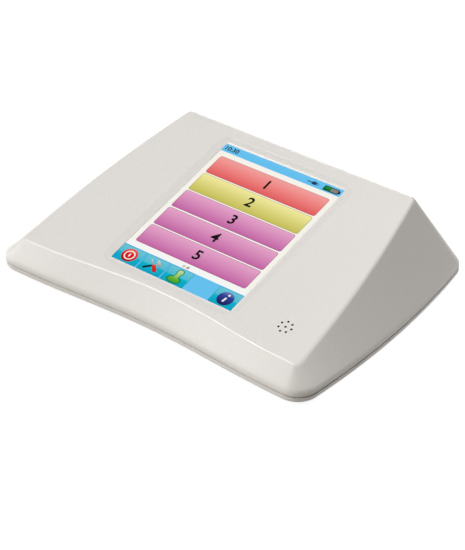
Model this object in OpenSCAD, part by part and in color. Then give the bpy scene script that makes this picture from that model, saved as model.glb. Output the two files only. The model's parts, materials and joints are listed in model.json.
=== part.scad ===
// Desktop tympanometer: a wedge-shaped table housing with a sunken touch screen,
// a small loudspeaker behind eight holes, a rear bay for the connectors, and the
// ear-pressure pump, battery and electronics inside.
// Millimetres, +Z up, Z = 0 on the table, X = 0 and Y = 0 at the middle of the base.

/* [Body] */
// Overall width at the rim
body_w = 240; // [232:1:300]
// Overall depth at the rim
body_d = 172; // [170:1:215]
// Slope of the top face in degrees
slope = 13.5; // [11:0.25:16.5]
// Height of the top face above the table at the middle of the screen
deck_h = 37.7; // [36.5:0.1:48]
// Distance of the screen's middle behind the middle of the base
screen_y = -3.8; // [-5:0.1:2]
// Wall thickness of both covers
wall = 2.5; // [2:0.1:3.2]
// How far the front edge curves in at its middle
front_dip = 4.5; // [0:0.1:8]
// How much the rim narrows from its widest place to the front corner, each side
front_draw = 4.6; // [0:0.1:10]
// How much the rim narrows from its widest place to the back corner, each side
back_draw = 8.5; // [0:0.1:14]
// Corner radius of the rim at the front
rim_front_r = 14; // [10:0.5:22]
// Corner radius of the rim at the back
rim_back_r = 8.5; // [6:0.5:16]

/* [Walls] */
// Lean of the front skirt, measured as the run from rim to crease at the corners
front_run = 11.2; // [8:0.1:12.5]
// Lean of the back wall, as a run
back_run = 20.6; // [12:0.1:24]
// Lean of the side walls at the front corner, as a run
side_run_front = 11; // [8:0.1:16]
// Lean of the side walls at mid depth, as a run
side_run_mid = 20.8; // [14:0.1:24]
// Lean of the side walls at the back corner, as a run
side_run_back = 24.8; // [18:0.1:28]
// How far the front crease curves in at its middle
deck_dip = 6.6; // [0:0.1:8]
// Corner radius of the top face at the front
deck_front_r = 5; // [3:0.5:10]
// Corner radius of the top face at the back
deck_back_r = 4.5; // [3:0.5:10]
// Height of the line where the leaning walls meet the upright rim
rim_z = 11.5; // [10.5:0.1:14]
// Height of the bottom cover's visible band
band_h = 3.6; // [3:0.1:5]
// Parting groove between the covers
groove_h = 0.6; // [0.4:0.1:1]

/* [Screen] */
// Width of the lit screen
screen_w = 91.2; // [76:0.1:94]
// Length of the lit screen up the slope
screen_l = 115.2; // [96:0.1:117]
// Width of the dished bezel round the screen
bezel_w = 6.6; // [5:0.1:7.5]
// Depth of the dished bezel
bezel_depth = 0.7; // [0.4:0.1:1]
// Thickness of the bezel's lip over the glass
bezel_lip = 0.6; // [0.5:0.1:1]
// Corner radius of the bezel
bezel_r = 11; // [6:0.5:14]
// Thickness of the touch glass
glass_t = 1.8; // [1.1:0.1:2.5]
// Thickness of the display module
module_t = 6; // [4:0.1:8]

/* [Loudspeaker] */
// Distance of the loudspeaker right of the screen's middle
speaker_u = 81.3; // [75:0.1:83]
// Distance of the loudspeaker up the slope from the screen's middle
speaker_v = -52.3; // [-54:0.1:-30]
// Diameter of each sound hole
sound_hole_d = 1.25; // [0.8:0.05:2]
// Radius of the ring of sound holes
sound_ring_r = 4.1; // [3.5:0.1:6]
// Number of sound holes on the ring
sound_holes = 7; // [5:1:9]
// Diameter of the loudspeaker
speaker_d = 20; // [16:0.5:22]

/* [Rear bay] */
// Width of the connector bay
bay_w = 140; // [116:1:148]
// Height of the bay's floor above the table
bay_z0 = 14; // [13.5:0.1:17]
// Height of the bay's ceiling above the table
bay_z1 = 40; // [33:0.1:44]
// Distance of the connector panel in front of the rim's back edge
bay_depth = 20; // [17:0.1:22]
// Thickness of the connector panel and of the bay's walls
panel_t = 2; // [1.6:0.1:2.5]
// Bore of the two phone jacks
jack_bore = 6.4; // [5.3:0.05:7.7]
// Bore of the probe socket
probe_bore = 10.2; // [8.5:0.1:12]
// Outside diameter of the air port's spigot
air_port_d = 4; // [3.5:0.1:5]
// Bore of the power inlet
inlet_bore = 5.6; // [4.6:0.1:6.7]
// Diameter of the power button
button_d = 10; // [8:0.1:12]
// Travel of the power button
button_travel = 1.5; // [1:0.1:2.5]

/* [Pump] */
// Bore of the pump cylinder
pump_bore = 16.5; // [13.7:0.1:17.5]
// Wall of the pump cylinder
pump_wall = 1.75; // [1.4:0.05:2.1]
// Height of the pump's axis above the table
pump_z = 20; // [18:0.1:24]
// Piston travel each way from the middle
pump_stroke = 10; // [8:0.1:12]
// Gear module of the rack and pinion
gear_module = 0.8; // [0.6:0.05:1]
// Number of teeth on the pinion
pinion_teeth = 15; // [13:1:17]
// Backlash between rack and pinion
backlash = 0.3; // [0.2:0.05:0.4]
// Diameter of the stepping motor
motor_d = 20; // [16.5:0.5:21]
// Travel of the relief valve's plunger
valve_travel = 0.8; // [0.5:0.1:1]

/* [Feet and fasteners] */
// Height of the rubber feet below the bottom cover
foot_h = 3; // [2.5:0.1:4]
// Diameter of the rubber feet
foot_d = 14; // [10:0.5:14]
// Diameter of the case screws
case_screw_d = 3; // [2.5:0.1:3.5]
// Diameter of the small screws
small_screw_d = 2.2; // [1.8:0.1:2.5]
// Free play between a hole and what passes through it
play = 0.2; // [0.15:0.01:0.3]

/* [Hidden] */
$fn = 48;

// Colours as the photograph shows them, or as such a piece usually has
shell_white = [0.88, 0.87, 0.84];
foot_grey = [0.22, 0.22, 0.23];
steel = [0.72, 0.73, 0.75];
brass = [0.80, 0.65, 0.35];
board_green = [0.08, 0.38, 0.22];
part_black = [0.08, 0.08, 0.09];
header_cream = [0.90, 0.88, 0.80];
nylon_white = [0.93, 0.93, 0.90];
hose_clear = [0.85, 0.88, 0.88];

// Housing outlines. Each is [front, dip, back, half width at front, at middle, at back,
// front corner radius, back corner radius]
lip_z = foot_h;
part_z = lip_z + band_h + groove_h;
half_w = body_w / 2;
draw_tilt = (front_draw - back_draw) / 2;
draw_bow = (front_draw + back_draw) / 2;
rim_mid = half_w - draw_tilt * draw_tilt / (4 * draw_bow);
rim = [-body_d / 2, front_dip, body_d / 2,
       half_w - front_draw, rim_mid, half_w - back_draw, rim_front_r, rim_back_r];
deck_front = (-body_d / 2 + front_run - screen_y) / cos(slope);
deck_back = (body_d / 2 - back_run - screen_y) / cos(slope);
deck = [deck_front, deck_dip, deck_back,
        rim[3] - side_run_front, rim[4] - side_run_mid, rim[5] - side_run_back,
        deck_front_r, deck_back_r];

// Points on each stretch of half an outline: front edge, front corner, side, back corner,
// back edge
front_steps = 12;
corner_steps = 8;
side_steps = 12;
tail_steps = 6;
back_steps = 4;

// Blend lengths of the crease between walls and top face, and of the rim's shoulder
crease_front = 1.6;
crease_side = 4;
crease_back = 2.2;
rim_blend = 3;
blend_steps = 3;
// The inner faces follow the outer ones: the inner crease lies this far in from the outer
// one, and the inner rim corner this far below the outer one
inner_crease_in = 0.6 * wall;
inner_rim_drop = 0.32 * wall;

function side_x(o, y) =
    let (s = (2 * y - o[0] - o[2]) / (o[2] - o[0]))
    o[4] + (o[5] - o[3]) / 2 * s + ((o[5] + o[3]) / 2 - o[4]) * s * s;
function side_lean(o, y) =
    let (h = (o[2] - o[0]) / 2, s = (2 * y - o[0] - o[2]) / (2 * h))
    ((o[5] - o[3]) / 2 + ((o[5] + o[3]) - 2 * o[4]) * s) / h;
// Centre x, centre y, radius and angle of the corner arc's side end
function front_corner(o) =
    let (cy = o[0] + o[6], a = -atan(side_lean(o, cy)))
    [side_x(o, cy + o[6] * sin(a)) - o[6] * cos(a), cy, o[6], a];
function back_corner(o) =
    let (cy = o[2] - o[7], a = -atan(side_lean(o, cy)))
    [side_x(o, cy + o[7] * sin(a)) - o[7] * cos(a), cy, o[7], a];
function arc_point(c, a) = [c[0] + c[2] * cos(a), c[1] + c[2] * sin(a)];
function half_outline(o) =
    let (f = front_corner(o), b = back_corner(o),
         y0 = f[1] + f[2] * sin(f[3]), y1 = b[1] + b[2] * sin(b[3]))
    concat(
        [for (i = [0:front_steps])
            [f[0] * i / front_steps, o[0] + o[1] * (1 + cos(180 * i / front_steps)) / 2]],
        [for (i = [1:corner_steps]) arc_point(f, -90 + (f[3] + 90) * i / corner_steps)],
        [for (i = [1:side_steps])
            let (y = y0 + (y1 - y0) * i / side_steps) [side_x(o, y), y]],
        [for (i = [1:tail_steps]) arc_point(b, b[3] + (90 - b[3]) * i / tail_steps)],
        [for (i = [1:back_steps]) [b[0] * (1 - i / back_steps), o[2]]]);
// A value for every point of the outline, in the same order
function along_half(a, b, c) = concat(
    [for (i = [0:front_steps]) a],
    [for (i = [1:corner_steps]) a + (b - a) * i / corner_steps],
    [for (i = [1:side_steps]) b],
    [for (i = [1:tail_steps]) b + (c - b) * i / tail_steps],
    [for (i = [1:back_steps]) c]);
function whole(list) = concat(list, [for (i = [len(list) - 2:-1:1]) list[i]]);
function outline(o) =
    let (h = half_outline(o))
    concat(h, [for (i = [len(h) - 2:-1:1]) [-h[i][0], h[i][1]]]);
function inset(o, t) = [o[0] + t, o[1], o[2] - t, o[3] - t, o[4] - t, o[5] - t,
                        max(o[6] - t, 1), max(o[7] - t, 1)];
// A point of the top face: u to the right, v up the slope, w out of the face
function on_deck(p, w) = [p[0], screen_y + p[1] * cos(slope) - w * sin(slope),
                          deck_h + p[1] * sin(slope) + w * cos(slope)];
function level(pts, z) = [for (p = pts) [p[0], p[1], z]];
function bend(a, b, c, s) = a * (1 - s) * (1 - s) + b * 2 * s * (1 - s) + c * s * s;
function toward(a, b, d) = a + (b - a) * d / norm(b - a);
function deck_z(y) = deck_h + (y - screen_y) * tan(slope);

outline_n = len(outline(rim));
// Faces of a stack of equal rings, closed at both ends
function stack_faces(rings, n) = concat(
    [[for (i = [0:n - 1]) i]],
    [[for (i = [n - 1:-1:0]) (rings - 1) * n + i]],
    [for (k = [0:rings - 2]) for (i = [0:n - 1])
        [k * n + i, (k + 1) * n + i, k * n + (i + 1) % n]],
    [for (k = [0:rings - 2]) for (i = [0:n - 1])
        [(k + 1) * n + i, (k + 1) * n + (i + 1) % n, k * n + (i + 1) % n]]);
function flat_list(rings) = [for (r = rings) for (p = r) p];

// Outer skin of the top cover, bottom edge first
function top_skin() =
    let (r = outline(rim), foot = level(r, rim_z),
         d = outline(deck), crease = [for (p = d) on_deck(p, 0)],
         t = whole(along_half(crease_front, crease_side, crease_back)),
         small = outline(inset(deck, crease_side)),
         n = len(r) - 1)
    concat(
        [level(r, part_z)],
        [for (k = [0:blend_steps])
            [for (i = [0:n]) bend(foot[i] - [0, 0, rim_blend / 2], foot[i],
                                  toward(foot[i], crease[i], rim_blend), k / blend_steps)]],
        [for (k = [0:blend_steps])
            [for (i = [0:n]) bend(toward(crease[i], foot[i], t[i]), crease[i],
                                  toward(crease[i], on_deck(small[i], 0), t[i]),
                                  k / blend_steps)]]);
function top_cavity() =
    let (r = outline(inset(rim, wall)))
    [level(r, part_z - 1), level(r, rim_z - inner_rim_drop),
     [for (p = outline(inset(deck, inner_crease_in))) on_deck(p, -wall)]];
module stack(rings) {
    polyhedron(points = flat_list(rings), faces = stack_faces(len(rings), outline_n));
}

// Small building blocks
module rounded(w, l, r) {
    square([w - 2 * r, l], center = true);
    square([w, l - 2 * r], center = true);
    for (x = [-1, 1], y = [-1, 1]) translate([x * (w / 2 - r), y * (l / 2 - r)]) circle(r);
}
module plate(w, l, r, t) { linear_extrude(t) rounded(w, l, r); }
module block(x0, x1, y0, y1, z0, z1) {
    translate([x0, y0, z0]) cube([x1 - x0, y1 - y0, z1 - z0]);
}
module brick(w, l, h) { translate([-w / 2, -l / 2, 0]) cube([w, l, h]); }
module rod(d, h) { cylinder(d = d, h = h); }
module pipe(d, bore, h) {
    difference() {
        rod(d, h);
        translate([0, 0, -1]) rod(bore, h + 2);
    }
}
// Pan-head screw whose head sits at z = 0 and whose shank points up
module screw(d, l) {
    translate([0, 0, -0.6 * d]) {
        difference() {
            rod(2 * d, 0.6 * d);
            translate([0, 0, -1]) cylinder(d = 0.9 * d, h = 1 + 0.3 * d, $fn = 6);
        }
    }
    translate([0, 0, -0.01]) rod(d - 0.1, l);
}
module on_face() { translate([0, screen_y, deck_h]) rotate([slope, 0, 0]) children(); }
module on_board(x, y) { translate([x, y, board_top]) children(); }
// Points a connector along +Y from the connector panel's outer face
module at_panel(x, z) { translate([x, panel_y, z]) rotate([-90, 0, 0]) children(); }

// A soft tube or wire along hand-chosen points, smoothed by a Catmull-Rom curve
function knot(p, i) = p[max(0, min(len(p) - 1, i))];
function smooth(p, n) = concat(
    [for (i = [0:len(p) - 2]) for (k = [0:n - 1])
        let (a = knot(p, i - 1), b = p[i], c = p[i + 1], d = knot(p, i + 2), s = k / n)
        (b * 2 + (c - a) * s + (a * 2 - b * 5 + c * 4 - d) * s * s
            + (b * 3 - a - c * 3 + d) * s * s * s) / 2],
    [p[len(p) - 1]]);
function unit(v) = v / norm(v);
function heading(p, i) = unit(knot(p, i + 1) - knot(p, i - 1));
function carried(p, i) =
    let (t = heading(p, i),
         s = i == 0 ? (abs(t[2]) < 0.8 ? [0, 0, 1] : [1, 0, 0]) : carried(p, i - 1))
    unit(s - t * (s * t));
module tube_along(p, d, sides = 8) {
    rings = [for (i = [0:len(p) - 1])
        let (t = heading(p, i), a = carried(p, i), b = cross(t, a))
        [for (k = [0:sides - 1])
            p[i] + (a * cos(360 * k / sides) + b * sin(360 * k / sides)) * d / 2]];
    polyhedron(points = flat_list(rings), faces = stack_faces(len(rings), sides));
}

// Places shared by several pieces
panel_y = body_d / 2 - bay_depth;
bay_mid_z = (bay_z0 + bay_z1) / 2;
tray_w = bay_w + 2 * panel_t;
bay_r = 3;
// Lip of the bay's frame that the panel rests against
frame_lip_w = 1.2;
frame_lip_t = 1.2;
crease_back_z = deck_h + deck_back * sin(slope);
function back_wall_y(z) = body_d / 2 - back_run * (z - rim_z) / (crease_back_z - rim_z);
wall_run = wall / cos(atan(back_run / (crease_back_z - rim_z)));
floor_z = lip_z + 2.4;
tongue_t = 1.6;
tongue_h = 1.8;
// Loudspeaker
speaker_rim_t = 4.5;
cloth_t = 0.4;
clip_t = 1;
clip_d = speaker_d + 5.4;
// Battery of two cells side by side, and its door
cell_d = 18.3;
cell_gap = 0.4;
cell_pitch = cell_d + cell_gap;
cell_z = floor_z + 0.7 + cell_d / 2;
battery_x0 = 58;
battery_w = 40;
battery_l = 49.8;
battery_y0 = body_d / 2 - 33.4 - battery_l;
door_w = 50;
door_l = 36;
door_x = battery_x0 + battery_w / 2;
door_y = battery_y0 + battery_l / 2;
door_step = 3;
door_rim_t = 1.4;
// Case screws: front, middle and back pair of columns, and the pair under the bay
column_d = 8;
column_gap = 0.2;
column_z = floor_z + 6.6;
head_z = floor_z + 3.1;
pair_bay_head_z = lip_z + 2.5;
pair_front = [speaker_u + clip_d / 2 + column_d / 2 + 0.3, -body_d / 2 + 26];
pair_mid = [rim_mid - 28.9, battery_y0 - 8.8];
pair_back = [rim[5] - 32.5, body_d / 2 - 28];
pair_bay = [bay_w / 2 - 4, panel_y + 2];
columns = [pair_front, pair_mid, pair_back];
feet = [[rim[3] - 11.4, -body_d / 2 + 16], [rim[5] - 13.5, body_d / 2 - 14]];
foot_sink = 0.6;
// Display stack, as distances below the top face
dish_w = screen_w + 2 * bezel_w;
dish_l = screen_l + 2 * bezel_w;
glass_w = -bezel_depth - bezel_lip;
glass_over = 4;
gasket_t = 0.5;
module_w = glass_w - glass_t - gasket_t;
module_over = 6.4;
bracket_w = module_w - module_t;
bracket_t = 1;
ear_u = screen_w / 2 + module_over + 5;
ear_v = screen_l / 2 - 7.6;
ear_d = 6;

// Connectors: the neck passes through the panel, the flange or nut is the widest part
jack_neck_d = jack_bore + 2.6;
jack_body_d = jack_bore + 5.6;
jack_nut_d = jack_neck_d + 4;
inlet_neck_d = inlet_bore + 2.4;
inlet_flange_d = inlet_neck_d + 3;
inlet_nut_d = inlet_neck_d + 5;
inlet_pin_d = 2.1;
usb_w = 12;
usb_h = 11;
probe_neck_d = probe_bore + 3.8;
probe_flange_d = probe_neck_d + 4;
probe_nut_d = probe_neck_d + 6;
air_thread_d = 6;
air_thread_l = 6;
air_nut_d = 10;
button_neck_d = button_d + 4;
button_flange_d = button_d + 7;
// How far each body reaches into the housing from the panel's outer face
button_deep = 14;
inlet_deep = 14;
usb_deep = 16;
jack_deep = 28;
probe_deep = 16;
// They stand side by side with equal gaps, the power button at the +X end
bay_widths = [button_flange_d, inlet_nut_d, usb_w, jack_nut_d, jack_nut_d,
              probe_nut_d, air_nut_d];
function total(list, n) = n == 0 ? 0 : list[n - 1] + total(list, n - 1);
bay_gap = (bay_w - total(bay_widths, len(bay_widths))) / (len(bay_widths) + 1);
function bay_x(k) = bay_w / 2 - bay_gap * (k + 1) - total(bay_widths, k) - bay_widths[k] / 2;
button_x = bay_x(0);
inlet_x = bay_x(1);
usb_x = bay_x(2);
jack_x = [bay_x(3), bay_x(4)];
probe_x = bay_x(5);
air_x = bay_x(6);

// Pump. The piston runs between the open front of its cylinder and the cap's spigot
pump_x = -ear_u - ear_d / 2 - 8.75;
pump_d = pump_bore + 2 * pump_wall;
piston_l = 10;
piston_spare = 5.5;
cap_t = 3;
cap_spigot_l = 2;
barrel_l = piston_l + 2 * pump_stroke + piston_spare + cap_spigot_l + 0.5;
// The cap's hose spigot stands this far off the cylinder's axis
cap_shift = 4;
spigot_d = 2.5;
spigot_l = 2.5;
pump_y1 = panel_y - 30;
pump_y0 = pump_y1 - barrel_l;
piston_y = pump_y0 + piston_spare + pump_stroke;
piston_play = 0.25;
ring_t = 2;
ring_back = 2.5;
rod_w = 5;
pitch_r = gear_module * pinion_teeth / 2;
addendum = gear_module;
dedendum = 1.3 * gear_module;
pressure_angle = 20;
// The rack faces +X. Its pitch line lies this far from the rod's middle line
rack_pitch_x = 2.5;
pinion_x = pump_x + rack_pitch_x + pitch_r;
pinion_y = pump_y0 - pump_stroke - 10;
rod_end_y = pinion_y - pump_stroke - 6;
rack_teeth = 2 * ceil((pump_stroke + 4) / (PI * gear_module));
motor_z0 = floor_z + 0.3;
shaft_d = 2;
pinion_h = rod_w;
boss_d = 4.6;
frame_t = 1.8;
frame_z = pump_z - rod_w / 2 - 2.2;
frame_x0 = pump_x - 14;
frame_x1 = pinion_x + motor_d / 2 + 3;
frame_y0 = pinion_y - 14;
frame_y1 = pinion_y + 14;
leg_w = 6;
frame_feet_x = [frame_x0 + leg_w / 2, frame_x1 - leg_w / 2];
frame_head_z = lip_z + 1.4;
// Air block behind the cylinder, carrying the relief valve and the pressure sensor
air_x0 = min(pump_x - 3.5, air_x - spigot_d / 2 - 1.5);
air_x1 = max(pump_x + 18.5, air_x + spigot_d / 2 + 1.5);
air_y0 = pump_y1 + 8.5;
air_y1 = air_y0 + 9;
air_z0 = floor_z + 7.6;
air_z1 = 31;
air_mid_y = (air_y0 + air_y1) / 2;
hose_d = 4.6;
hose_bore = 2.6;
valve_x = pump_x + 3;
valve_seat_d = 5;
valve_d = 8.6;
valve_h = 12;
plunger_d = 3.6;
sensor_x = pump_x + 13.5;
sensor_w = 7;
sensor_h = 3.4;

// Main board
board_x0 = frame_x1 + 0.5;
board_x1 = battery_x0 - 4;
board_y0 = screen_y - 13;
board_y1 = panel_y - 7;
board_t = 1.6;
board_z = floor_z + 4.6;
board_top = board_z + board_t;
// The back left post stays clear of the probe socket's leads
post_x = min(board_x0 + 4, probe_x - 3.25);
board_posts = [[board_x0 + 4, board_y0 + 4], [post_x, board_y1 - 5],
               for (y = [board_y0 + 4, board_y1 - 5]) [board_x1 - 4, y]];
// Headers: [x, y, width, depth, height]
battery_header = [board_x1 - 6, screen_y + 8, 6, 8, 6];
speaker_header = [board_x1 - 14, screen_y - 9, 8, 5, 6];
motor_header = [board_x0 + 14, screen_y - 8, 10, 5, 6];
display_header = [0, screen_y - 10, 24, 5, 3];

// Housing
module top_cover() {
    color(shell_white)
    difference() {
        union() {
            difference() {
                stack(top_skin());
                stack(top_cavity());
            }
            for (p = columns, s = [-1, 1])
                translate([s * p[0], p[1], column_z + column_gap])
                    rod(column_d, deck_z(p[1]) - wall / 2 - column_z - column_gap);
            on_face() {
                for (u = [-1, 1], v = [-1, 1])
                    translate([u * ear_u, v * ear_v, bracket_w])
                        rod(ear_d, -bracket_w - wall / 2);
                translate([speaker_u, speaker_v, -wall - 2.5])
                    rod(speaker_d + 3, 2.5 + wall / 2);
            }
        }
        for (p = columns, s = [-1, 1]) translate([s * p[0], p[1], column_z - 1])
            rod(case_screw_d, 9);
        translate([0, panel_y - 1, bay_mid_z]) rotate([-90, 0, 0])
            plate(bay_w, bay_z1 - bay_z0, bay_r, bay_depth + 5);
        on_face() {
            translate([0, 0, -bezel_depth]) plate(dish_w, dish_l, bezel_r, 10);
            translate([0, 0, glass_w - 20])
                plate(screen_w + 2 * glass_over + 2 * play,
                      screen_l + 2 * glass_over + 2 * play, 1.5, 20);
            translate([0, 0, glass_w - 1]) plate(screen_w, screen_l, 0.5, 10);
            for (u = [-1, 1], v = [-1, 1]) translate([u * ear_u, v * ear_v, bracket_w - 1])
                rod(small_screw_d, 5.5);
            translate([speaker_u, speaker_v, -wall - 3]) {
                rod(speaker_d + 2 * play, 3);
                rod(sound_hole_d, 10);
                for (k = [0:sound_holes - 1]) rotate(360 * k / sound_holes)
                    translate([sound_ring_r, 0, 0]) rod(sound_hole_d, 10);
            }
        }
    }
}

module bottom_cover() {
    edge = [[2, 0], [1.2, 0.2], [0.5, 0.7], [0, 1.8]];
    // The tongue stands up inside the top cover and closes the parting groove
    tongue = outline(inset(rim, wall + play));
    inner = outline(inset(rim, wall + play + tongue_t));
    tongue_z = part_z + tongue_h;
    color(shell_white)
    difference() {
        union() {
            stack(concat(
                [for (e = edge) level(outline(inset(rim, e[0])), lip_z + e[1])],
                [level(outline(rim), lip_z + band_h), level(tongue, lip_z + band_h),
                 level(tongue, tongue_z), level(inner, tongue_z), level(inner, floor_z)]));
            for (p = columns, s = [-1, 1]) translate([s * p[0], p[1], floor_z - 1])
                rod(column_d + 1, column_z - floor_z + 1);
            for (s = [-1, 1]) translate([s * pair_bay[0], pair_bay[1], floor_z - 1])
                rod(column_d, head_z - floor_z);
            for (p = board_posts) translate([p[0], p[1], floor_z - 1])
                rod(7, board_z - floor_z + 1);
            // Kerb round the battery's door opening
            translate([door_x, door_y, floor_z - 1]) plate(door_w + 3, door_l + 3, 3, 1.6);
        }
        for (p = columns, s = [-1, 1]) translate([s * p[0], p[1], lip_z - 1]) {
            rod(2 * case_screw_d + 0.8, head_z - lip_z + 1);
            rod(case_screw_d + 2 * play, column_z);
        }
        for (s = [-1, 1]) translate([s * pair_bay[0], pair_bay[1], lip_z - 1]) {
            rod(2 * case_screw_d + 0.8, pair_bay_head_z - lip_z + 1);
            rod(case_screw_d + 2 * play, column_z);
        }
        for (p = feet, s = [-1, 1]) translate([s * p[0], p[1], lip_z - 1])
            rod(foot_d + 2 * play, 1 + foot_sink);
        for (p = board_posts) translate([p[0], p[1], floor_z]) rod(small_screw_d, 10);
        translate([door_x, door_y, lip_z - 1]) {
            plate(door_w, door_l, 2, 1 + door_rim_t);
            plate(door_w - 12, door_l - 2 * door_step, 2, 10);
        }
        for (s = [-1, 1]) translate([door_x + s * (door_w / 2 - 3), door_y, lip_z])
            rod(small_screw_d, 10);
        for (x = frame_feet_x) translate([x, frame_y0 + leg_w / 2, lip_z - 1]) {
            rod(2 * small_screw_d + 0.8, frame_head_z - lip_z + 1);
            rod(small_screw_d + 2 * play, 10);
        }
    }
}

// Frame behind the bay opening: its floor, ceiling and sides reach back to the wall, and
// the panel is pushed in from behind against a lip
module bay_frame() {
    z0 = bay_z0 - panel_t;
    z1 = bay_z1 + panel_t;
    y0 = panel_y - panel_t - frame_lip_t;
    back = wall_run + play;
    color(part_black)
    difference() {
        union() {
            translate([-tray_w / 2, 0, 0]) rotate([90, 0, 90]) linear_extrude(tray_w)
                polygon([[y0, z0], [back_wall_y(z0) - back, z0],
                         [back_wall_y(z1) - back, z1], [y0, z1]]);
            for (s = [-1, 1]) translate([s * pair_bay[0], pair_bay[1], head_z - 1])
                rod(column_d, z0 - head_z + 1.5);
        }
        translate([0, panel_y - panel_t, bay_mid_z]) rotate([-90, 0, 0])
            plate(bay_w, bay_z1 - bay_z0, bay_r, bay_depth + 5);
        translate([0, y0 - 1, bay_mid_z]) rotate([-90, 0, 0])
            plate(bay_w - 2 * frame_lip_w, bay_z1 - bay_z0 - 2 * frame_lip_w,
                  bay_r - frame_lip_w, bay_depth);
        for (s = [-1, 1]) translate([s * pair_bay[0], pair_bay[1], head_z - 2])
            rod(case_screw_d, z0 - head_z + 2);
    }
}
module rear_panel() {
    holes = concat([[button_x, button_neck_d], [inlet_x, inlet_neck_d],
                    [probe_x, probe_neck_d], [air_x, air_thread_d]],
                   [for (x = jack_x) [x, jack_neck_d]]);
    color(part_black)
    difference() {
        at_panel(0, bay_mid_z) translate([0, 0, -panel_t])
            plate(bay_w - 2 * play, bay_z1 - bay_z0 - 2 * play, bay_r - play, panel_t);
        for (h = holes) at_panel(h[0], bay_mid_z) translate([0, 0, -panel_t - 1])
            rod(h[1] + 2 * play, panel_t + 2);
        at_panel(usb_x, bay_mid_z) translate([0, 0, -panel_t - 1])
            plate(usb_w + 2 * play, usb_h + 2 * play, 0.5, panel_t + 2);
    }
}

// Display
module touch_glass() {
    color([0.80, 0.86, 0.90]) on_face() translate([0, 0, glass_w - glass_t])
        plate(screen_w + 2 * glass_over, screen_l + 2 * glass_over, 1.2, glass_t);
}
module glass_gasket() {
    color(part_black) on_face() translate([0, 0, module_w])
        difference() {
            plate(screen_w + 2 * glass_over, screen_l + 2 * glass_over, 1, gasket_t);
            translate([0, 0, -1]) plate(screen_w + 1, screen_l + 1, 0.5, gasket_t + 2);
        }
}
module display_module() {
    color(steel) on_face() translate([0, 0, bracket_w]) {
        difference() {
            plate(screen_w + 2 * module_over, screen_l + 2 * module_over, 1.5, module_t);
            translate([0, 0, module_t - 0.4]) plate(screen_w + 1, screen_l + 1, 0.5, 1);
        }
    }
}
module display_bracket() {
    color(steel) on_face() translate([0, 0, bracket_w - bracket_t])
        difference() {
            union() {
                plate(screen_w + 2 * module_over, screen_l + 2 * module_over, 2, bracket_t);
                for (v = [-1, 1]) translate([0, v * ear_v, 0])
                    plate(2 * ear_u + ear_d + 1, ear_d + 1, 2, bracket_t);
            }
            translate([0, 0, -1]) plate(screen_w - 26, screen_l - 36, 4, bracket_t + 2);
            for (u = [-1, 1], v = [-1, 1]) translate([u * ear_u, v * ear_v, -1])
                rod(small_screw_d + 2 * play, bracket_t + 2);
        }
}
module bracket_screws() {
    color(steel) on_face()
        for (u = [-1, 1], v = [-1, 1]) translate([u * ear_u, v * ear_v, bracket_w - bracket_t])
            screw(small_screw_d, 5);
}

// Loudspeaker, hung under the sound holes
module loudspeaker() {
    magnet_r = 0.3 * speaker_d;
    dome_r = 2.5;
    cone_r = speaker_d / 2 - 2.5;
    color(part_black) on_face()
        translate([speaker_u, speaker_v, -wall - cloth_t - speaker_rim_t]) {
            difference() {
                rotate_extrude() polygon([[0, 0], [magnet_r, 0], [magnet_r, 1.4],
                    [speaker_d / 2, 2.6], [speaker_d / 2, speaker_rim_t], [0, speaker_rim_t]]);
                // The cone, with its dome in the middle
                translate([0, 0, speaker_rim_t]) rotate_extrude()
                    polygon([[dome_r, -1.2], [cone_r, -0.3], [cone_r, 1], [0, 1], [0, -0.7]]);
            }
        }
}
module speaker_cloth() {
    color([0.15, 0.15, 0.16]) on_face()
        translate([speaker_u, speaker_v, -wall - cloth_t]) rod(speaker_d, cloth_t);
}
module speaker_clip() {
    wall_bore = speaker_d + 3.4;
    slot_w = 8;
    color(nylon_white) on_face()
        translate([speaker_u, speaker_v, -wall - cloth_t - speaker_rim_t]) {
            difference() {
                union() {
                    translate([0, 0, -clip_t]) pipe(clip_d, speaker_d - 7, clip_t);
                    translate([0, 0, -clip_t])
                        pipe(clip_d, wall_bore, clip_t + speaker_rim_t + cloth_t);
                }
                for (a = [0, 90]) rotate(a) translate([-clip_d, -slot_w / 2, 0])
                    cube([2 * clip_d, slot_w, 20]);
            }
        }
}

// Main board and what stands on it
module main_board() {
    color(board_green) difference() {
        block(board_x0, board_x1, board_y0, board_y1, board_z, board_top);
        for (p = board_posts) translate([p[0], p[1], 0]) rod(small_screw_d + 2 * play, 30);
    }
}
module board_screws() {
    color(steel) for (p = board_posts) translate([p[0], p[1], board_top])
        rotate([180, 0, 0]) screw(small_screw_d, board_top - floor_z - 1);
}
module board_chips() {
    // Each chip is [x, y behind the board's front edge, width, depth, height]
    chips = [[-12, 21, 16, 16, 1.4], [10, 19, 12, 12, 1.2], [28, 15, 8, 10, 1.2],
             [-30, 19, 8, 8, 1.2], [42, 37, 9, 6, 1.5], [-28, 31, 6, 5, 1.2]];
    color(part_black) for (c = chips) on_board(c[0], board_y0 + c[1]) brick(c[2], c[3], c[4]);
}
module board_headers() {
    headers = [battery_header, speaker_header, motor_header, display_header];
    color(header_cream) for (h = headers) on_board(h[0], h[1]) brick(h[2], h[3], h[4]);
}
module board_capacitors() {
    // Each place is [x, y in front of the board's back edge]
    places = [[board_x1 - 8, 22.8], [board_x1 - 8, 13.8], [board_x1 - 20, 16.8]];
    color([0.16, 0.18, 0.30]) for (p = places) on_board(p[0], board_y1 - p[1]) rod(6.3, 7);
}
module shield_can() {
    sheet = 0.4;
    color(steel) on_board(10, board_y1 - 32.8) difference() {
        brick(24, 18, 3);
        translate([0, 0, -sheet]) brick(24 - 2 * sheet, 18 - 2 * sheet, 3);
    }
}
module clock_cell() {
    color(steel) on_board(-26, board_y1 - 26.8) {
        rod(20, 3.2);
        translate([0, 0, 3]) rod(17, 0.6);
    }
}

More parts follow.
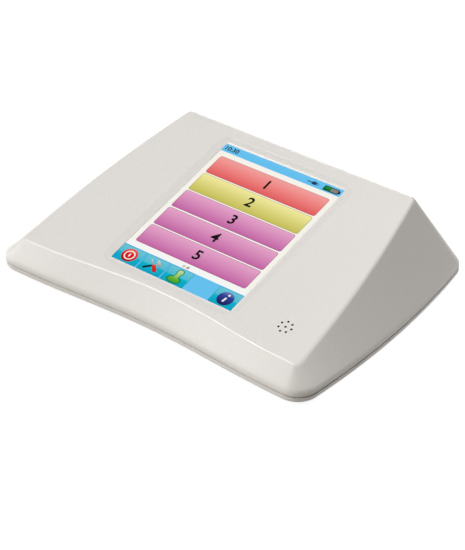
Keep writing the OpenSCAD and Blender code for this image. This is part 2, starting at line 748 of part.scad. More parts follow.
// Connectors in the rear bay
module power_inlet() {
    bore_floor = 10;
    color(part_black) at_panel(inlet_x, bay_mid_z) {
        difference() {
            union() {
                rod(inlet_flange_d, 2);
                translate([0, 0, -inlet_deep]) rod(inlet_neck_d, inlet_deep + 1);
            }
            translate([0, 0, -bore_floor]) rod(inlet_bore, 20);
        }
        translate([0, 0, -bore_floor - 0.5]) rod(inlet_pin_d, bore_floor - 1);
    }
}
// A nut on a neck behind the panel, or a round one in front of it
module nut(d, neck_d, h, sides) {
    difference() {
        cylinder(d = d, h = h, $fn = sides);
        translate([0, 0, -1]) rod(neck_d + play, h + 2);
    }
}
module inlet_nut() {
    color(steel) at_panel(inlet_x, bay_mid_z) translate([0, 0, -panel_t - 2])
        nut(inlet_nut_d, inlet_neck_d, 1.9, 6);
}
module usb_socket() {
    mouth = [8.6, 7.9];
    tongue = [5.6, 3.2];
    mouth_deep = 9;
    color(steel) at_panel(usb_x, bay_mid_z) difference() {
        translate([0, 0, -usb_deep]) plate(usb_w, usb_h, 0.4, usb_deep + 1);
        translate([0, 0, -mouth_deep]) difference() {
            plate(mouth[0], mouth[1], 0.5, 20);
            translate([0, 0, -1]) plate(tongue[0], tongue[1], 0.3, mouth_deep);
        }
    }
}
module phone_jacks() {
    color(part_black) for (x = jack_x) at_panel(x, bay_mid_z) difference() {
        union() {
            translate([0, 0, -panel_t]) rod(jack_neck_d, panel_t + 4);
            translate([0, 0, -jack_deep]) rod(jack_body_d, jack_deep - panel_t);
        }
        translate([0, 0, -jack_deep + 2]) rod(jack_bore, 60);
    }
}
module jack_nuts() {
    slot = 1.2;
    color(steel) for (x = jack_x) at_panel(x, bay_mid_z) difference() {
        nut(jack_nut_d, jack_neck_d, 2.2, $fn);
        for (a = [0:30:150]) rotate(a) translate([-jack_nut_d, -slot / 2, 1.2])
            cube([2 * jack_nut_d, slot, 2]);
    }
}
module probe_socket() {
    bore_deep = 9;
    color(steel) at_panel(probe_x, bay_mid_z) difference() {
        union() {
            rod(probe_flange_d, 2.4);
            translate([0, 0, -probe_deep]) rod(probe_neck_d, probe_deep + 1);
        }
        translate([0, 0, -bore_deep]) rod(probe_bore, 20);
        translate([0, 0, -probe_deep - 1]) rod(probe_bore - 2, 20);
    }
}
module probe_insert() {
    contact_r = 2.6;
    contact_d = 1.1;
    contact_deep = 3;
    color(part_black) at_panel(probe_x, bay_mid_z) translate([0, 0, -probe_deep + 0.5])
        difference() {
            rod(probe_bore - 2 - play, 2 * contact_deep);
            translate([0, 0, contact_deep]) {
                rod(contact_d, 10);
                for (k = [0:5]) rotate(60 * k) translate([contact_r, 0, 0]) rod(contact_d, 10);
            }
        }
}
module probe_nut() {
    color(steel) at_panel(probe_x, bay_mid_z) translate([0, 0, -panel_t - 3])
        nut(probe_nut_d, probe_neck_d, 2.9, 6);
}
module air_port() {
    hex_h = 2.5;
    color(brass) at_panel(air_x, bay_mid_z) difference() {
        union() {
            cylinder(d = 9, h = hex_h, $fn = 6);
            translate([0, 0, -air_thread_l]) rod(air_thread_d, air_thread_l + 0.5);
            translate([0, 0, hex_h - 0.5]) rod(air_port_d, 9);
            translate([0, 0, -air_thread_l - spigot_l]) rod(spigot_d, spigot_l + 0.5);
        }
        translate([0, 0, -20]) rod(1.5, 40);
    }
}
module air_port_nut() {
    color(brass) at_panel(air_x, bay_mid_z) translate([0, 0, -panel_t - 2])
        nut(air_nut_d, air_thread_d, 1.9, 6);
}
button_well = 9;
button_gap = 0.3;
module button_housing() {
    color(part_black) at_panel(button_x, bay_mid_z) difference() {
        union() {
            rod(button_flange_d, 1.6);
            translate([0, 0, -button_deep]) rod(button_neck_d, button_deep + 1);
        }
        translate([0, 0, -button_well]) rod(button_d + 2 * button_gap, 20);
    }
}
// The button slides towards the front of the device and has a shallow dimple
module power_button() {
    length = 9.8;
    dimple_r = 10;
    dimple_deep = 0.5;
    color([0.75, 0.12, 0.10]) at_panel(button_x, bay_mid_z)
        translate([0, 0, -button_well + button_travel + 0.4]) difference() {
            rod(button_d, length);
            translate([0, 0, length + dimple_r - dimple_deep]) sphere(dimple_r);
        }
}

// Battery
module battery_pack() {
    cell_x = battery_x0 + cell_d / 2 + 1;
    web_h = 8;
    color([0.20, 0.32, 0.60]) for (k = [0, 1])
        translate([cell_x + k * cell_pitch, battery_y0, cell_z]) rotate([-90, 0, 0])
            rod(cell_d, battery_l);
    // Web of the shrink sleeve between the cells
    color([0.15, 0.15, 0.16])
        block(cell_x, cell_x + cell_pitch, battery_y0 + 3, battery_y0 + battery_l - 3,
              cell_z - web_h / 2, cell_z + web_h / 2);
}
module battery_door() {
    color(shell_white) translate([door_x, door_y, lip_z]) difference() {
        union() {
            plate(door_w - 2 * play, door_l - 2 * play, 2, door_rim_t - 0.1);
            translate([0, 0, 1]) plate(door_w - 12 - 2 * play,
                door_l - 2 * door_step - 2 * play, 2, floor_z - lip_z - 0.6);
        }
        for (s = [-1, 1]) translate([s * (door_w / 2 - 3), 0, -1])
            rod(small_screw_d + 2 * play, 10);
    }
}
module door_screws() {
    color(steel) for (s = [-1, 1])
        translate([door_x + s * (door_w / 2 - 3), door_y, lip_z]) screw(small_screw_d, 3.4);
}

// Pump: a rack on the piston rod is driven by a pinion on the motor's upright shaft
function rolled(a) = tan(a) * 180 / PI - a;
function flank(r) =
    let (rb = pitch_r * cos(pressure_angle))
    r <= rb ? rolled(pressure_angle) : rolled(pressure_angle) - rolled(acos(rb / r));
// Half the angle that a tooth takes up at radius r
function tooth_half(r) = 90 / pinion_teeth + flank(r) - backlash / 4 / r * 180 / PI;
module pinion_shape() {
    root_r = pitch_r - dedendum;
    radii = [for (k = [0:4]) root_r + (dedendum + addendum) * k / 4];
    polygon([for (t = [0:pinion_teeth - 1]) let (a = 360 * t / pinion_teeth)
        each concat(
            [for (r = radii) let (b = a - tooth_half(r)) [r * cos(b), r * sin(b)]],
            [for (k = [4:-1:0]) let (r = radii[k], b = a + tooth_half(r))
                [r * cos(b), r * sin(b)]])]);
}
module rack_shape(teeth) {
    pitch = PI * gear_module;
    half = pitch / 4 - backlash / 4;
    root = half + dedendum * tan(pressure_angle);
    tip = half - addendum * tan(pressure_angle);
    // A gap of the rack faces the pinion's tooth at rest
    for (k = [0:teeth - 1]) translate([0, (k - teeth / 2 + 0.5) * pitch])
        polygon([[-dedendum - 0.2, -root], [-dedendum, -root], [addendum, -tip],
                 [addendum, tip], [-dedendum, root], [-dedendum - 0.2, root]]);
}
module pump_frame() {
    color(part_black) difference() {
        union() {
            block(frame_x0, frame_x1, frame_y0, frame_y1, frame_z - frame_t, frame_z);
            for (x = [frame_x0, frame_x1 - leg_w], y = [frame_y0, frame_y1 - leg_w])
                block(x, x + leg_w, y, y + leg_w, floor_z, frame_z - 0.1);
            // Guides either side of the rod
            block(pump_x - 6.2, pump_x - 3.2, frame_y0, frame_y1, frame_z - 0.1, pump_z + 2);
            for (y = [frame_y0, frame_y1 - 5])
                block(pump_x + 5.2, pump_x + 8, y, y + 5, frame_z - 0.1, pump_z + 2);
            // Cradles under the cylinder, and the rail that joins them to the plate
            for (y = [pump_y0 + 3, pump_y1 - 5])
                block(pump_x - pump_d / 2 - 1, pump_x + pump_d / 2 + 1, y, y + 4,
                      floor_z, pump_z - 3);
            block(pump_x - 5, pump_x + 5, frame_y1 - 1, pump_y1 - 3, floor_z, floor_z + 2.5);
            block(pump_x - 5, pump_x + 5, frame_y1 - 2, frame_y1, floor_z, frame_z - 0.1);
        }
        translate([pump_x, pump_y0 - 1, pump_z]) rotate([-90, 0, 0])
            rod(pump_d + 0.1, barrel_l + 2);
        translate([pinion_x, pinion_y, 0]) {
            rod(boss_d + 2 * play, 40);
            translate([0, 0, motor_z0 - 1]) rod(motor_d + 0.6, frame_z - frame_t - motor_z0 + 0.9);
        }
        for (x = frame_feet_x) translate([x, frame_y0 + leg_w / 2, 0])
            rod(small_screw_d, floor_z + 7);
    }
}
module frame_screws() {
    color(steel) for (x = frame_feet_x) translate([x, frame_y0 + leg_w / 2, frame_head_z])
        screw(small_screw_d, 7);
}
module pump_cylinder() {
    color([0.80, 0.84, 0.86]) translate([pump_x, pump_y0, pump_z]) rotate([-90, 0, 0])
        difference() {
            rod(pump_d, barrel_l);
            translate([0, 0, -1]) rod(pump_bore, barrel_l + 2);
        }
}
module cylinder_cap() {
    color(nylon_white) translate([pump_x, pump_y1, pump_z]) rotate([-90, 0, 0])
        difference() {
            union() {
                rod(pump_d, cap_t);
                translate([0, 0, -cap_spigot_l]) rod(pump_bore - 0.1, cap_t);
                translate([cap_shift, 0, 0]) rod(spigot_d, cap_t + spigot_l);
            }
            translate([cap_shift, 0, -3]) rod(1.4, 20);
        }
}
module pump_piston() {
    color(nylon_white) {
        translate([pump_x, piston_y, pump_z]) rotate([-90, 0, 0]) difference() {
            rod(pump_bore - 2 * piston_play, piston_l);
            translate([0, 0, piston_l - ring_back - ring_t])
                pipe(pump_bore + 2, pump_bore - 2 * ring_t - 0.2, ring_t + 0.3);
        }
        block(pump_x - 2.6, pump_x + rack_pitch_x - dedendum, rod_end_y, piston_y + 1,
              pump_z - rod_w / 2, pump_z + rod_w / 2);
        translate([pump_x + rack_pitch_x, pinion_y, pump_z - rod_w / 2])
            linear_extrude(rod_w) rack_shape(rack_teeth);
    }
}
module piston_ring() {
    color(part_black) translate([pump_x, piston_y + piston_l - ring_back - ring_t / 2 + 0.15, pump_z])
        rotate([90, 0, 0]) rotate_extrude()
            translate([pump_bore / 2 - ring_t / 2 - 0.05, 0]) circle(ring_t / 2);
}
module pump_motor() {
    color(steel) translate([pinion_x, pinion_y, motor_z0]) difference() {
        union() {
            rod(motor_d, frame_z - frame_t - motor_z0 - 0.1);
            translate([0, 0, 1]) rod(boss_d, frame_z - motor_z0 - 1);
        }
        translate([0, 0, 0.8]) rod(shaft_d + 0.1, 30);
    }
}
module motor_pinion() {
    color(brass) translate([pinion_x, pinion_y, 0]) {
        translate([0, 0, pump_z - pinion_h / 2]) linear_extrude(pinion_h)
            rotate(180) pinion_shape();
        translate([0, 0, motor_z0 + 1]) rod(shaft_d, pump_z - motor_z0 - 1);
    }
}

// Air block, relief valve, pressure sensor and hoses
module air_block() {
    color(nylon_white) difference() {
        union() {
            block(air_x0, air_x1, air_y0, air_y1, air_z0, air_z1);
            translate([pump_x + cap_shift, air_y0 - spigot_l, pump_z]) rotate([-90, 0, 0])
                rod(spigot_d, spigot_l + 0.5);
            translate([air_x, air_y1 - 0.5, bay_mid_z]) rotate([-90, 0, 0])
                rod(spigot_d, spigot_l + 0.5);
            for (x = [air_x0 + 3, air_x1 - 3]) translate([x, air_mid_y, floor_z])
                rod(5, air_z0 - floor_z + 1);
        }
        translate([valve_x, air_mid_y, air_z1 - 3]) rod(valve_seat_d, 10);
    }
}
module relief_valve() {
    color(steel) translate([valve_x, air_mid_y, air_z1]) difference() {
        rod(valve_d, valve_h);
        translate([0, 0, -1]) rod(plunger_d + 0.6, valve_h);
    }
}
module valve_plunger() {
    color(steel) translate([valve_x, air_mid_y, air_z1 - 2.6]) {
        rod(plunger_d, valve_h - valve_travel);
        rod(plunger_d + 0.8, 1.2);
    }
}
module pressure_sensor() {
    color(part_black) translate([sensor_x, air_mid_y, air_z1]) {
        brick(sensor_w, sensor_w, sensor_h);
        translate([0, 0, sensor_h - 0.1]) rod(4, 1.6);
    }
}
module pump_hose() {
    y0 = pump_y1 + cap_t + play;
    color(hose_clear) translate([pump_x + cap_shift, y0, pump_z])
        rotate([-90, 0, 0]) pipe(hose_d, hose_bore, air_y0 - play - y0);
}
module port_hose() {
    y0 = air_y1 + play;
    color(hose_clear) translate([air_x, y0, bay_mid_z]) rotate([-90, 0, 0])
        pipe(hose_d, hose_bore, panel_y - air_thread_l - play - y0);
}

// Ribbon and leads. Each is held between two fittings, and its points are chosen by hand
// as offsets from the fitting at either end
function above(h, z) = [h[0], h[1], board_top + h[4] + z];
function onto(h, points) = [for (p = concat(points, [[0, 0, 1.8], [0, 0, 0.1]]))
                                above(h, 0) + p];
function from(start, points) = [for (p = concat([[0, 0, 0]], points)) start + p];
ribbon_w = 20;
ribbon_t = 0.4;
ribbon_start = on_deck([0, 10], bracket_w - ribbon_t / 2 - 0.1);
ribbon_end = above(display_header, 0.1);
ribbon_path = smooth(concat(
    from(ribbon_start, [[0, -0.2, -3.5], [0, -4.2, -8.5]]),
    from(ribbon_end + [0, 5.8, 4.8], [[0, -5.5, -2], [0, -5.8, -4.8]])), 4);
battery_path = smooth(concat(
    from([battery_x0 + 8, battery_y0 - 0.3, cell_z], [[0, -1.6, 0], [-5, -5.6, 2]]),
    onto(battery_header, [[4, -5.2, 4.3], [0, 0, 4.3]])), 4);
speaker_path = smooth(concat(
    from(on_deck([speaker_u, speaker_v], -wall - cloth_t - speaker_rim_t - 0.3),
         [[0, 1.8, -3], [-5, 11, -8], [-17, 25, -9]]),
    onto(speaker_header, [[10, -6, -3.7], [2, -1, 3.3], [0, 0, 3.3]])), 4);
motor_path = smooth(concat(
    from([pinion_x, pinion_y - motor_d / 2 - 0.3, motor_z0 + 3.3], [[0, -3.2, 0]]),
    [[frame_x1 - 4, frame_y0 - 3.5, motor_z0 + 4.3],
     [frame_x1 + 3.5, min(frame_y0 + 2, motor_header[1] - 22.2), motor_z0 + 7.3]],
    onto(motor_header, [[-5, -7, 2.3], [0, 0, 3.3]])), 4);
button_path = smooth(concat(
    from([button_x, panel_y - button_deep - 0.1, bay_mid_z], [[0, -3, 0], [-2, -8, -3]]),
    from([board_x1 - 3, board_y1 - 17, board_top + 6.3], [[0, 0, -4], [0, 0, -6.2]])), 4);
valve_path = smooth(concat(
    from([valve_x, air_mid_y - valve_d / 2 - 0.2, air_z1 + 7], [[0, -2, 0], [4, -4, -3]]),
    from([board_x0 + 4, board_y1 - 20, board_top + 8], [[0, 0, -4], [0, 0, -7.9]])), 4);
sensor_path = smooth(concat(
    from([sensor_x, air_mid_y - sensor_w / 2 - 0.2, air_z1 + 1.5], [[0, -2, 0], [2, -4, -3]]),
    from([board_x0 + 4, board_y1 - 26, board_top + 8], [[0, 0, -4], [0, 0, -7.9]])), 4);
lead_d = 1.8;
pin_d = 0.9;
// Straight leads from the connectors' undersides to the board: [x, y, top z]
straight_leads = [
    for (x = jack_x, y = [26, 22, 18]) [x, panel_y - y, bay_mid_z - jack_body_d / 2],
    for (x = [usb_x - 3, usb_x + 3], y = [14, 11]) [x, panel_y - y, bay_mid_z - usb_h / 2],
    for (y = [13, 10]) [inlet_x, panel_y - y, bay_mid_z - inlet_neck_d / 2],
    for (y = [15, 12]) [probe_x, panel_y - y, bay_mid_z - probe_neck_d / 2]];
module display_ribbon() {
    path = [for (p = ribbon_path) [p[1], p[2]]];
    n = len(path) - 1;
    side = [for (i = [0:n]) let (t = heading(path, i)) [-t[1], t[0]] * ribbon_t / 2];
    color([0.75, 0.50, 0.22]) translate([-ribbon_w / 2, 0, 0]) rotate([90, 0, 90])
        linear_extrude(ribbon_w) polygon(concat(
            [for (i = [0:n]) path[i] + side[i]],
            [for (i = [n:-1:0]) path[i] - side[i]]));
}
module battery_lead() { color([0.70, 0.10, 0.10]) tube_along(battery_path, lead_d); }
module speaker_lead() { color(part_black) tube_along(speaker_path, lead_d); }
module motor_lead() { color([0.30, 0.30, 0.32]) tube_along(motor_path, lead_d); }
module air_leads() {
    color([0.85, 0.75, 0.20]) {
        tube_along(valve_path, lead_d);
        tube_along(sensor_path, lead_d);
    }
}
module panel_leads() {
    color([0.55, 0.15, 0.12]) {
        tube_along(button_path, lead_d);
        for (p = straight_leads) on_board(p[0], p[1]) rod(pin_d, p[2] - board_top);
    }
}

module rubber_feet() {
    color(foot_grey) for (p = feet, s = [-1, 1]) translate([s * p[0], p[1], 0])
        rotate_extrude() polygon([[0, 0], [foot_d / 2 - 1.4, 0], [foot_d / 2 - 0.8, 0.5],
            [foot_d / 2, lip_z - 0.4], [foot_d / 2, lip_z + foot_sink], [0, lip_z + foot_sink]]);
}
module case_screws() {
    color(steel) {
        for (p = columns, s = [-1, 1]) translate([s * p[0], p[1], head_z])
            screw(case_screw_d, 11);
        for (s = [-1, 1]) translate([s * pair_bay[0], pair_bay[1], pair_bay_head_z])
            screw(case_screw_d, 6);
    }
}

top_cover();
bottom_cover();
bay_frame();
rear_panel();
touch_glass();
glass_gasket();
display_module();
display_bracket();
bracket_screws();
loudspeaker();
speaker_cloth();
speaker_clip();
main_board();
board_screws();
board_chips();
board_headers();
board_capacitors();
shield_can();
clock_cell();
power_inlet();
inlet_nut();
usb_socket();
phone_jacks();
jack_nuts();
probe_socket();
probe_insert();
probe_nut();
air_port();
air_port_nut();
button_housing();
power_button();
battery_pack();
battery_door();
door_screws();
pump_frame();
pump_cylinder();
cylinder_cap();
pump_piston();
piston_ring();
pump_motor();
motor_pinion();
frame_screws();
air_block();
relief_valve();
valve_plunger();
pressure_sensor();
pump_hose();
port_hose();
display_ribbon();
battery_lead();
speaker_lead();
motor_lead();
air_leads();
panel_leads();
rubber_feet();
case_screws();
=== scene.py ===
# %% [markdown]
# # A desktop tympanometer
# A tympanometer stands on a clinic's desk and measures how an eardrum moves while the air
# pressure in the ear canal changes. This one is a low wedge of moulded plastic with a touch
# screen let into its sloping face, a small loudspeaker at the front right, and its
# connectors in a bay at the back.
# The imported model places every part. Here the covers and the screen are made again with
# smoother surfaces, small rear details are added, and every part gets a real finish.
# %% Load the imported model
import collections
import json
import math

import bmesh
import bpy
import numpy as np
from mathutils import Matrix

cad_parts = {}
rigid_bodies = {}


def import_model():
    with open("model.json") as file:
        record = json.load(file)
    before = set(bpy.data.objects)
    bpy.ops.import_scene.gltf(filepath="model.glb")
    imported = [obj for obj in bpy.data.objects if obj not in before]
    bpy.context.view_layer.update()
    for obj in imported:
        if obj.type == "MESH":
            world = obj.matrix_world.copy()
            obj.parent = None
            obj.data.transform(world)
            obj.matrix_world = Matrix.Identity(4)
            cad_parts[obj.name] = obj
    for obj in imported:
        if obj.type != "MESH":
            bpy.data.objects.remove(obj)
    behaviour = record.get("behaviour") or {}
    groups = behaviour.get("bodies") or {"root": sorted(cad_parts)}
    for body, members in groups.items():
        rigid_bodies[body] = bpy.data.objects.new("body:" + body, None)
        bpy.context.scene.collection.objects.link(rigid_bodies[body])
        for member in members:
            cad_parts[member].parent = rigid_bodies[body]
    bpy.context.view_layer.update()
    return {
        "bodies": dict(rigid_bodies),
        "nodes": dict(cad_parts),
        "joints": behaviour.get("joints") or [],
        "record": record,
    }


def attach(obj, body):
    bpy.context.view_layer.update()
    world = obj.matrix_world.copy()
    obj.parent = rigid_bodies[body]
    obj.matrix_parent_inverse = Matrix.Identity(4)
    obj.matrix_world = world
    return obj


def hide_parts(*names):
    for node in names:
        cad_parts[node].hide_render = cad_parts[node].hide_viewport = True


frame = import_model()
MM = 0.001

# %% [markdown]
# ## Camera
# The photograph was taken from the front right, about a metre away, with a long lens, so
# the edges that run back stay nearly parallel. A camera fitted to the corners of the screen
# and to the creases of the housing gives the turn, the height and the distance below.
# %% Camera
CAMERA_TURN = math.radians(38.23)
CAMERA_RISE = math.radians(34.26)
CAMERA_DISTANCE = 1110.25 * MM
CAMERA_SHIFT = (2.47 * MM, -31.68 * MM)
FOCAL_LENGTH = 120.87
SENSOR_WIDTH = 36.0
SCREEN_CENTRE = np.array([0.0, -3.8, 37.7]) * MM

sin_turn, cos_turn = math.sin(CAMERA_TURN), math.cos(CAMERA_TURN)
sin_rise, cos_rise = math.sin(CAMERA_RISE), math.cos(CAMERA_RISE)
view_back = np.array([sin_turn * cos_rise, -cos_turn * cos_rise, sin_rise])
view_right = np.array([cos_turn, sin_turn, 0.0])
view_up = np.cross(view_back, view_right)
eye = (SCREEN_CENTRE + view_back * CAMERA_DISTANCE
       + view_right * CAMERA_SHIFT[0] + view_up * CAMERA_SHIFT[1])

camera_data = bpy.data.cameras.new("camera")
camera_data.lens = FOCAL_LENGTH
camera_data.sensor_width = SENSOR_WIDTH
camera_data.clip_start, camera_data.clip_end = 0.05, 60.0
camera = bpy.data.objects.new("camera", camera_data)
camera.location = eye
camera.rotation_euler = (math.pi / 2 - CAMERA_RISE, 0.0, CAMERA_TURN)
bpy.context.scene.collection.objects.link(camera)
bpy.context.scene.camera = camera
print("camera at", np.round(eye, 3).tolist())

# %% [markdown]
# ## Colours and shader nodes
# Paint charts and screen colours are written as sRGB hex values, but a renderer adds up
# light, so each colour is turned into linear light first. One small function adds any
# shader node, sets its properties and links its sockets, which keeps the recipe of each
# finish short enough to read.
# %% Colour and node helpers
def linear(code):
    """Linear colour of an sRGB hex code: c / 12.92 near black, and elsewhere
    ((c + 0.055) / 1.055) ^ 2.4."""
    channels = [int(code[k:k + 2], 16) / 255 for k in (1, 3, 5)]
    return tuple(c / 12.92 if c <= 0.04045 else ((c + 0.055) / 1.055) ** 2.4
                 for c in channels) + (1.0,)


def add(tree, kind, sockets=None, **settings):
    """Adds a shader node. A socket takes a number, a colour, or another node's output."""
    node = tree.nodes.new("ShaderNode" + kind)
    for name, value in settings.items():
        setattr(node, name, value)
    for name, value in (sockets or {}).items():
        if isinstance(value, bpy.types.NodeSocket):
            tree.links.new(value, node.inputs[name])
        else:
            node.inputs[name].default_value = value
    return node


def new_finish(name, **surface):
    """A material with one Principled surface. In a socket's name an underscore stands for a
    space."""
    material = bpy.data.materials.new(name)
    material.use_nodes = True
    tree = material.node_tree
    tree.nodes.clear()
    sockets = {key.replace("_", " "): value for key, value in surface.items()}
    shader = add(tree, "BsdfPrincipled", sockets)
    add(tree, "OutputMaterial", {"Surface": shader.outputs["BSDF"]})
    return material, tree, shader


def place_on(tree):
    """Object coordinates in metres, in which every pattern here is drawn."""
    return add(tree, "TexCoord").outputs["Object"]


def per_mm(size):
    """Scale of a noise whose spots are about size millimetres across."""
    return 1.0 / (size * MM)


# %% [markdown]
# ## The housing's plastic
# The covers are injection-moulded ABS in a warm off-white. Spark erosion gives the mould a
# fine texture, so the plastic has a satin sheen and grains about 0.4 mm across. Two noises
# draw it: the small one lifts the surface and varies its roughness, and a wide, weak one
# gives the slight unevenness of colour that any moulding shows. The dished frame round the
# screen is painted a trace darker, as painted shade in the dish, and the cover's mesh says
# where that is, so the frame and the face stay one moulding.
# %% Housing plastic
CLOUD_MM, RELIEF_MM, MATT_SPREAD = 45.0, 0.02, 0.05


def moulded_plastic(name, colour, shade, roughness, grain_mm, relief, specular=0.5, frame=None):
    """Textured plastic: fine noise for relief and roughness, wide noise between two tints, and
    the colour frame, as painted shade, where the mesh's attribute "painted_frame_shade" is 1."""
    material, tree, shader = new_finish(name, IOR=1.53, Specular_IOR_Level=specular)
    place = place_on(tree)
    grain = add(tree, "TexNoise", {"Vector": place, "Scale": per_mm(grain_mm),
                                   "Detail": 3.0, "Roughness": 0.55})
    cloud = add(tree, "TexNoise", {"Vector": place, "Scale": per_mm(CLOUD_MM), "Detail": 2.0})
    tint = add(tree, "Mix", {"Factor": cloud.outputs["Fac"], "A": linear(colour),
                             "B": linear(shade)}, data_type="RGBA")
    matt = add(tree, "MapRange", {"Value": grain.outputs["Fac"],
                                  "To Min": roughness - MATT_SPREAD,
                                  "To Max": roughness + MATT_SPREAD})
    bump = add(tree, "Bump", {"Height": grain.outputs["Fac"], "Strength": relief,
                              "Distance": RELIEF_MM * MM})
    # painted shade: where the attribute says, the tint is mixed towards the darker colour frame
    if frame:
        floor = add(tree, "Attribute", attribute_name="painted_frame_shade")
        tint = add(tree, "Mix", {"Factor": floor.outputs["Fac"], "A": tint.outputs["Result"],
                                 "B": linear(frame)}, data_type="RGBA")
    tree.links.new(tint.outputs["Result"], shader.inputs["Base Color"])
    tree.links.new(matt.outputs["Result"], shader.inputs["Roughness"])
    tree.links.new(bump.outputs["Normal"], shader.inputs["Normal"])
    return material


# warm off-white with a satin sheen, which draws the light into soft lines along the creases;
# the last colour is painted shade for the dished frame round the screen
shell_abs = moulded_plastic("moulded_abs_off_white", "#E8E5E2", "#E6E3DF", 0.27, 0.4, 0.25,
                            frame="#E3E0DD")
print("finish of the covers:", shell_abs.name)

# %% [markdown]
# ## Meshes from formulas
# Every new piece is a surface worked out as arrays of numbers: a row of closed rings, each
# with the same number of points, joined ring to ring by four-sided faces. A tube-like row
# is closed at its ends by flat caps, and a row that returns to its start closes on itself,
# as a wall does that runs up the outside of a cover and down its inside.
# %% Mesh helpers
def ring_faces(rows, columns, closed_row):
    """Quads between ring r and r + 1, and between column c and c + 1, which wraps round."""
    last = rows if closed_row else rows - 1
    r = np.arange(last)[:, None]
    c = np.arange(columns)[None, :]
    r2, c2 = (r + 1) % rows, (c + 1) % columns
    quads = np.stack([r * columns + c, r * columns + c2, r2 * columns + c2,
                      r2 * columns + c], axis=-1)
    return quads.reshape(-1, 4)


def make_mesh(name, points, faces):
    """Mesh from an array of points and a list of faces, each a list of point numbers."""
    mesh = bpy.data.meshes.new(name)
    mesh.from_pydata(np.asarray(points, float).reshape(-1, 3).tolist(), [], faces)
    mesh.validate()
    return mesh


def make_piece(name, mesh, material, smooth_angle=32.0):
    """Shades the mesh smooth up to smooth_angle, gives it one finish and puts it in the
    scene."""
    mesh.shade_smooth()
    mesh.set_sharp_from_angle(angle=math.radians(smooth_angle))
    mesh.materials.clear()
    mesh.materials.append(material)
    mesh.polygons.foreach_set("material_index", np.zeros(len(mesh.polygons), np.int32))
    piece = bpy.data.objects.new(name, mesh)
    bpy.context.scene.collection.objects.link(piece)
    return piece


def loft(name, rings, closed_row=False):
    """Mesh over rings (rows x columns x 3), capped at both ends unless the row is closed."""
    rings = np.asarray(rings, float)
    rows, columns = rings.shape[:2]
    faces = ring_faces(rows, columns, closed_row).tolist()
    if not closed_row:
        faces.append(list(range(columns))[::-1])
        faces.append(list(range((rows - 1) * columns, rows * columns)))
    return make_mesh(name, rings, faces)


def points_of(mesh):
    """The mesh's points as an array of rows x, y, z."""
    flat = np.empty(len(mesh.vertices) * 3)
    mesh.vertices.foreach_get("co", flat)
    return flat.reshape(-1, 3)


def faces_of(mesh, start=0):
    """The mesh's faces as lists of point numbers, counted from start."""
    corners = np.empty(len(mesh.loops), np.int32)
    mesh.loops.foreach_get("vertex_index", corners)
    sizes = np.empty(len(mesh.polygons), np.int32)
    mesh.polygons.foreach_get("loop_total", sizes)
    return [face.tolist() for face in np.split(corners + start, np.cumsum(sizes)[:-1])]


def joined(name, meshes):
    """One mesh that holds copies of several, which are removed."""
    points, faces, start = [], [], 0
    for mesh in meshes:
        points.append(points_of(mesh))
        faces += faces_of(mesh, start)
        start += len(mesh.vertices)
        bpy.data.meshes.remove(mesh)
    return make_mesh(name, np.concatenate(points), faces)


def carved(mesh, tool, operation):
    """The mesh after an exact boolean with a closed tool mesh, which is used up."""
    work = bpy.data.objects.new("work", mesh)
    cutter = bpy.data.objects.new("cutter", tool)
    for thing in (work, cutter):
        bpy.context.scene.collection.objects.link(thing)
    boolean = work.modifiers.new("boolean", "BOOLEAN")
    boolean.operation, boolean.solver, boolean.object = operation, "EXACT", cutter
    bpy.context.view_layer.update()
    result = bpy.data.meshes.new_from_object(
        work.evaluated_get(bpy.context.evaluated_depsgraph_get()))
    for thing in (work, cutter):
        bpy.data.objects.remove(thing)
    bpy.data.meshes.remove(mesh)
    bpy.data.meshes.remove(tool)
    return result


# %% [markdown]
# ## The outline of the housing
# Seen from above, the rim and the top face have the same kind of outline: a front edge that
# curves in at its middle, front corners, slightly bulging sides, small back corners and a
# straight back. Eight numbers describe one: the front, its dip, the back, the half width at
# the front, the middle and the back, and the two corner radii.
# Both outlines get the same number of points in each stretch, so a straight line from a
# point of the rim to its partner on the top face lies in the leaning wall.
# %% Outline formulas
FRONT_POINTS, CORNER_POINTS, SIDE_POINTS, TAIL_POINTS, BACK_POINTS = 64, 24, 80, 20, 52
Outline = collections.namedtuple(
    "Outline", "front dip back half_front half_middle half_back front_r back_r")
RIM = Outline(-86.0, 4.5, 86.0, 115.4, 119.855, 111.5, 14.0, 8.5)
DECK = Outline(-73.0175, 6.6, 73.07, 104.4, 98.94, 86.3, 2.6, 4.5)


def side_x(o, y):
    """Half width at y: a parabola through the half widths at the front, middle and back."""
    s = (2 * y - o.front - o.back) / (o.back - o.front)
    return (o.half_middle + (o.half_back - o.half_front) / 2 * s
            + ((o.half_back + o.half_front) / 2 - o.half_middle) * s * s)


def side_lean(o, y):
    """Slope dx/dy of the side at y."""
    half = (o.back - o.front) / 2
    s = (2 * y - o.front - o.back) / (2 * half)
    return ((o.half_back - o.half_front) / 2
            + (o.half_back + o.half_front - 2 * o.half_middle) * s) / half


def corner(o, radius, sign):
    """Centre, radius and tangent angle of a corner arc that flows into the side."""
    y = (o.front if sign > 0 else o.back) + sign * radius
    angle = -math.atan(side_lean(o, y))
    x = side_x(o, y + radius * math.sin(angle)) - radius * math.cos(angle)
    return x, y, radius, angle


def arc(at, angles):
    """Points of a circle at these angles."""
    return np.stack([at[0] + at[2] * np.cos(angles), at[1] + at[2] * np.sin(angles)], -1)


def steps(count):
    """Equal steps from 0, without the last one at 1."""
    return np.arange(count) / count


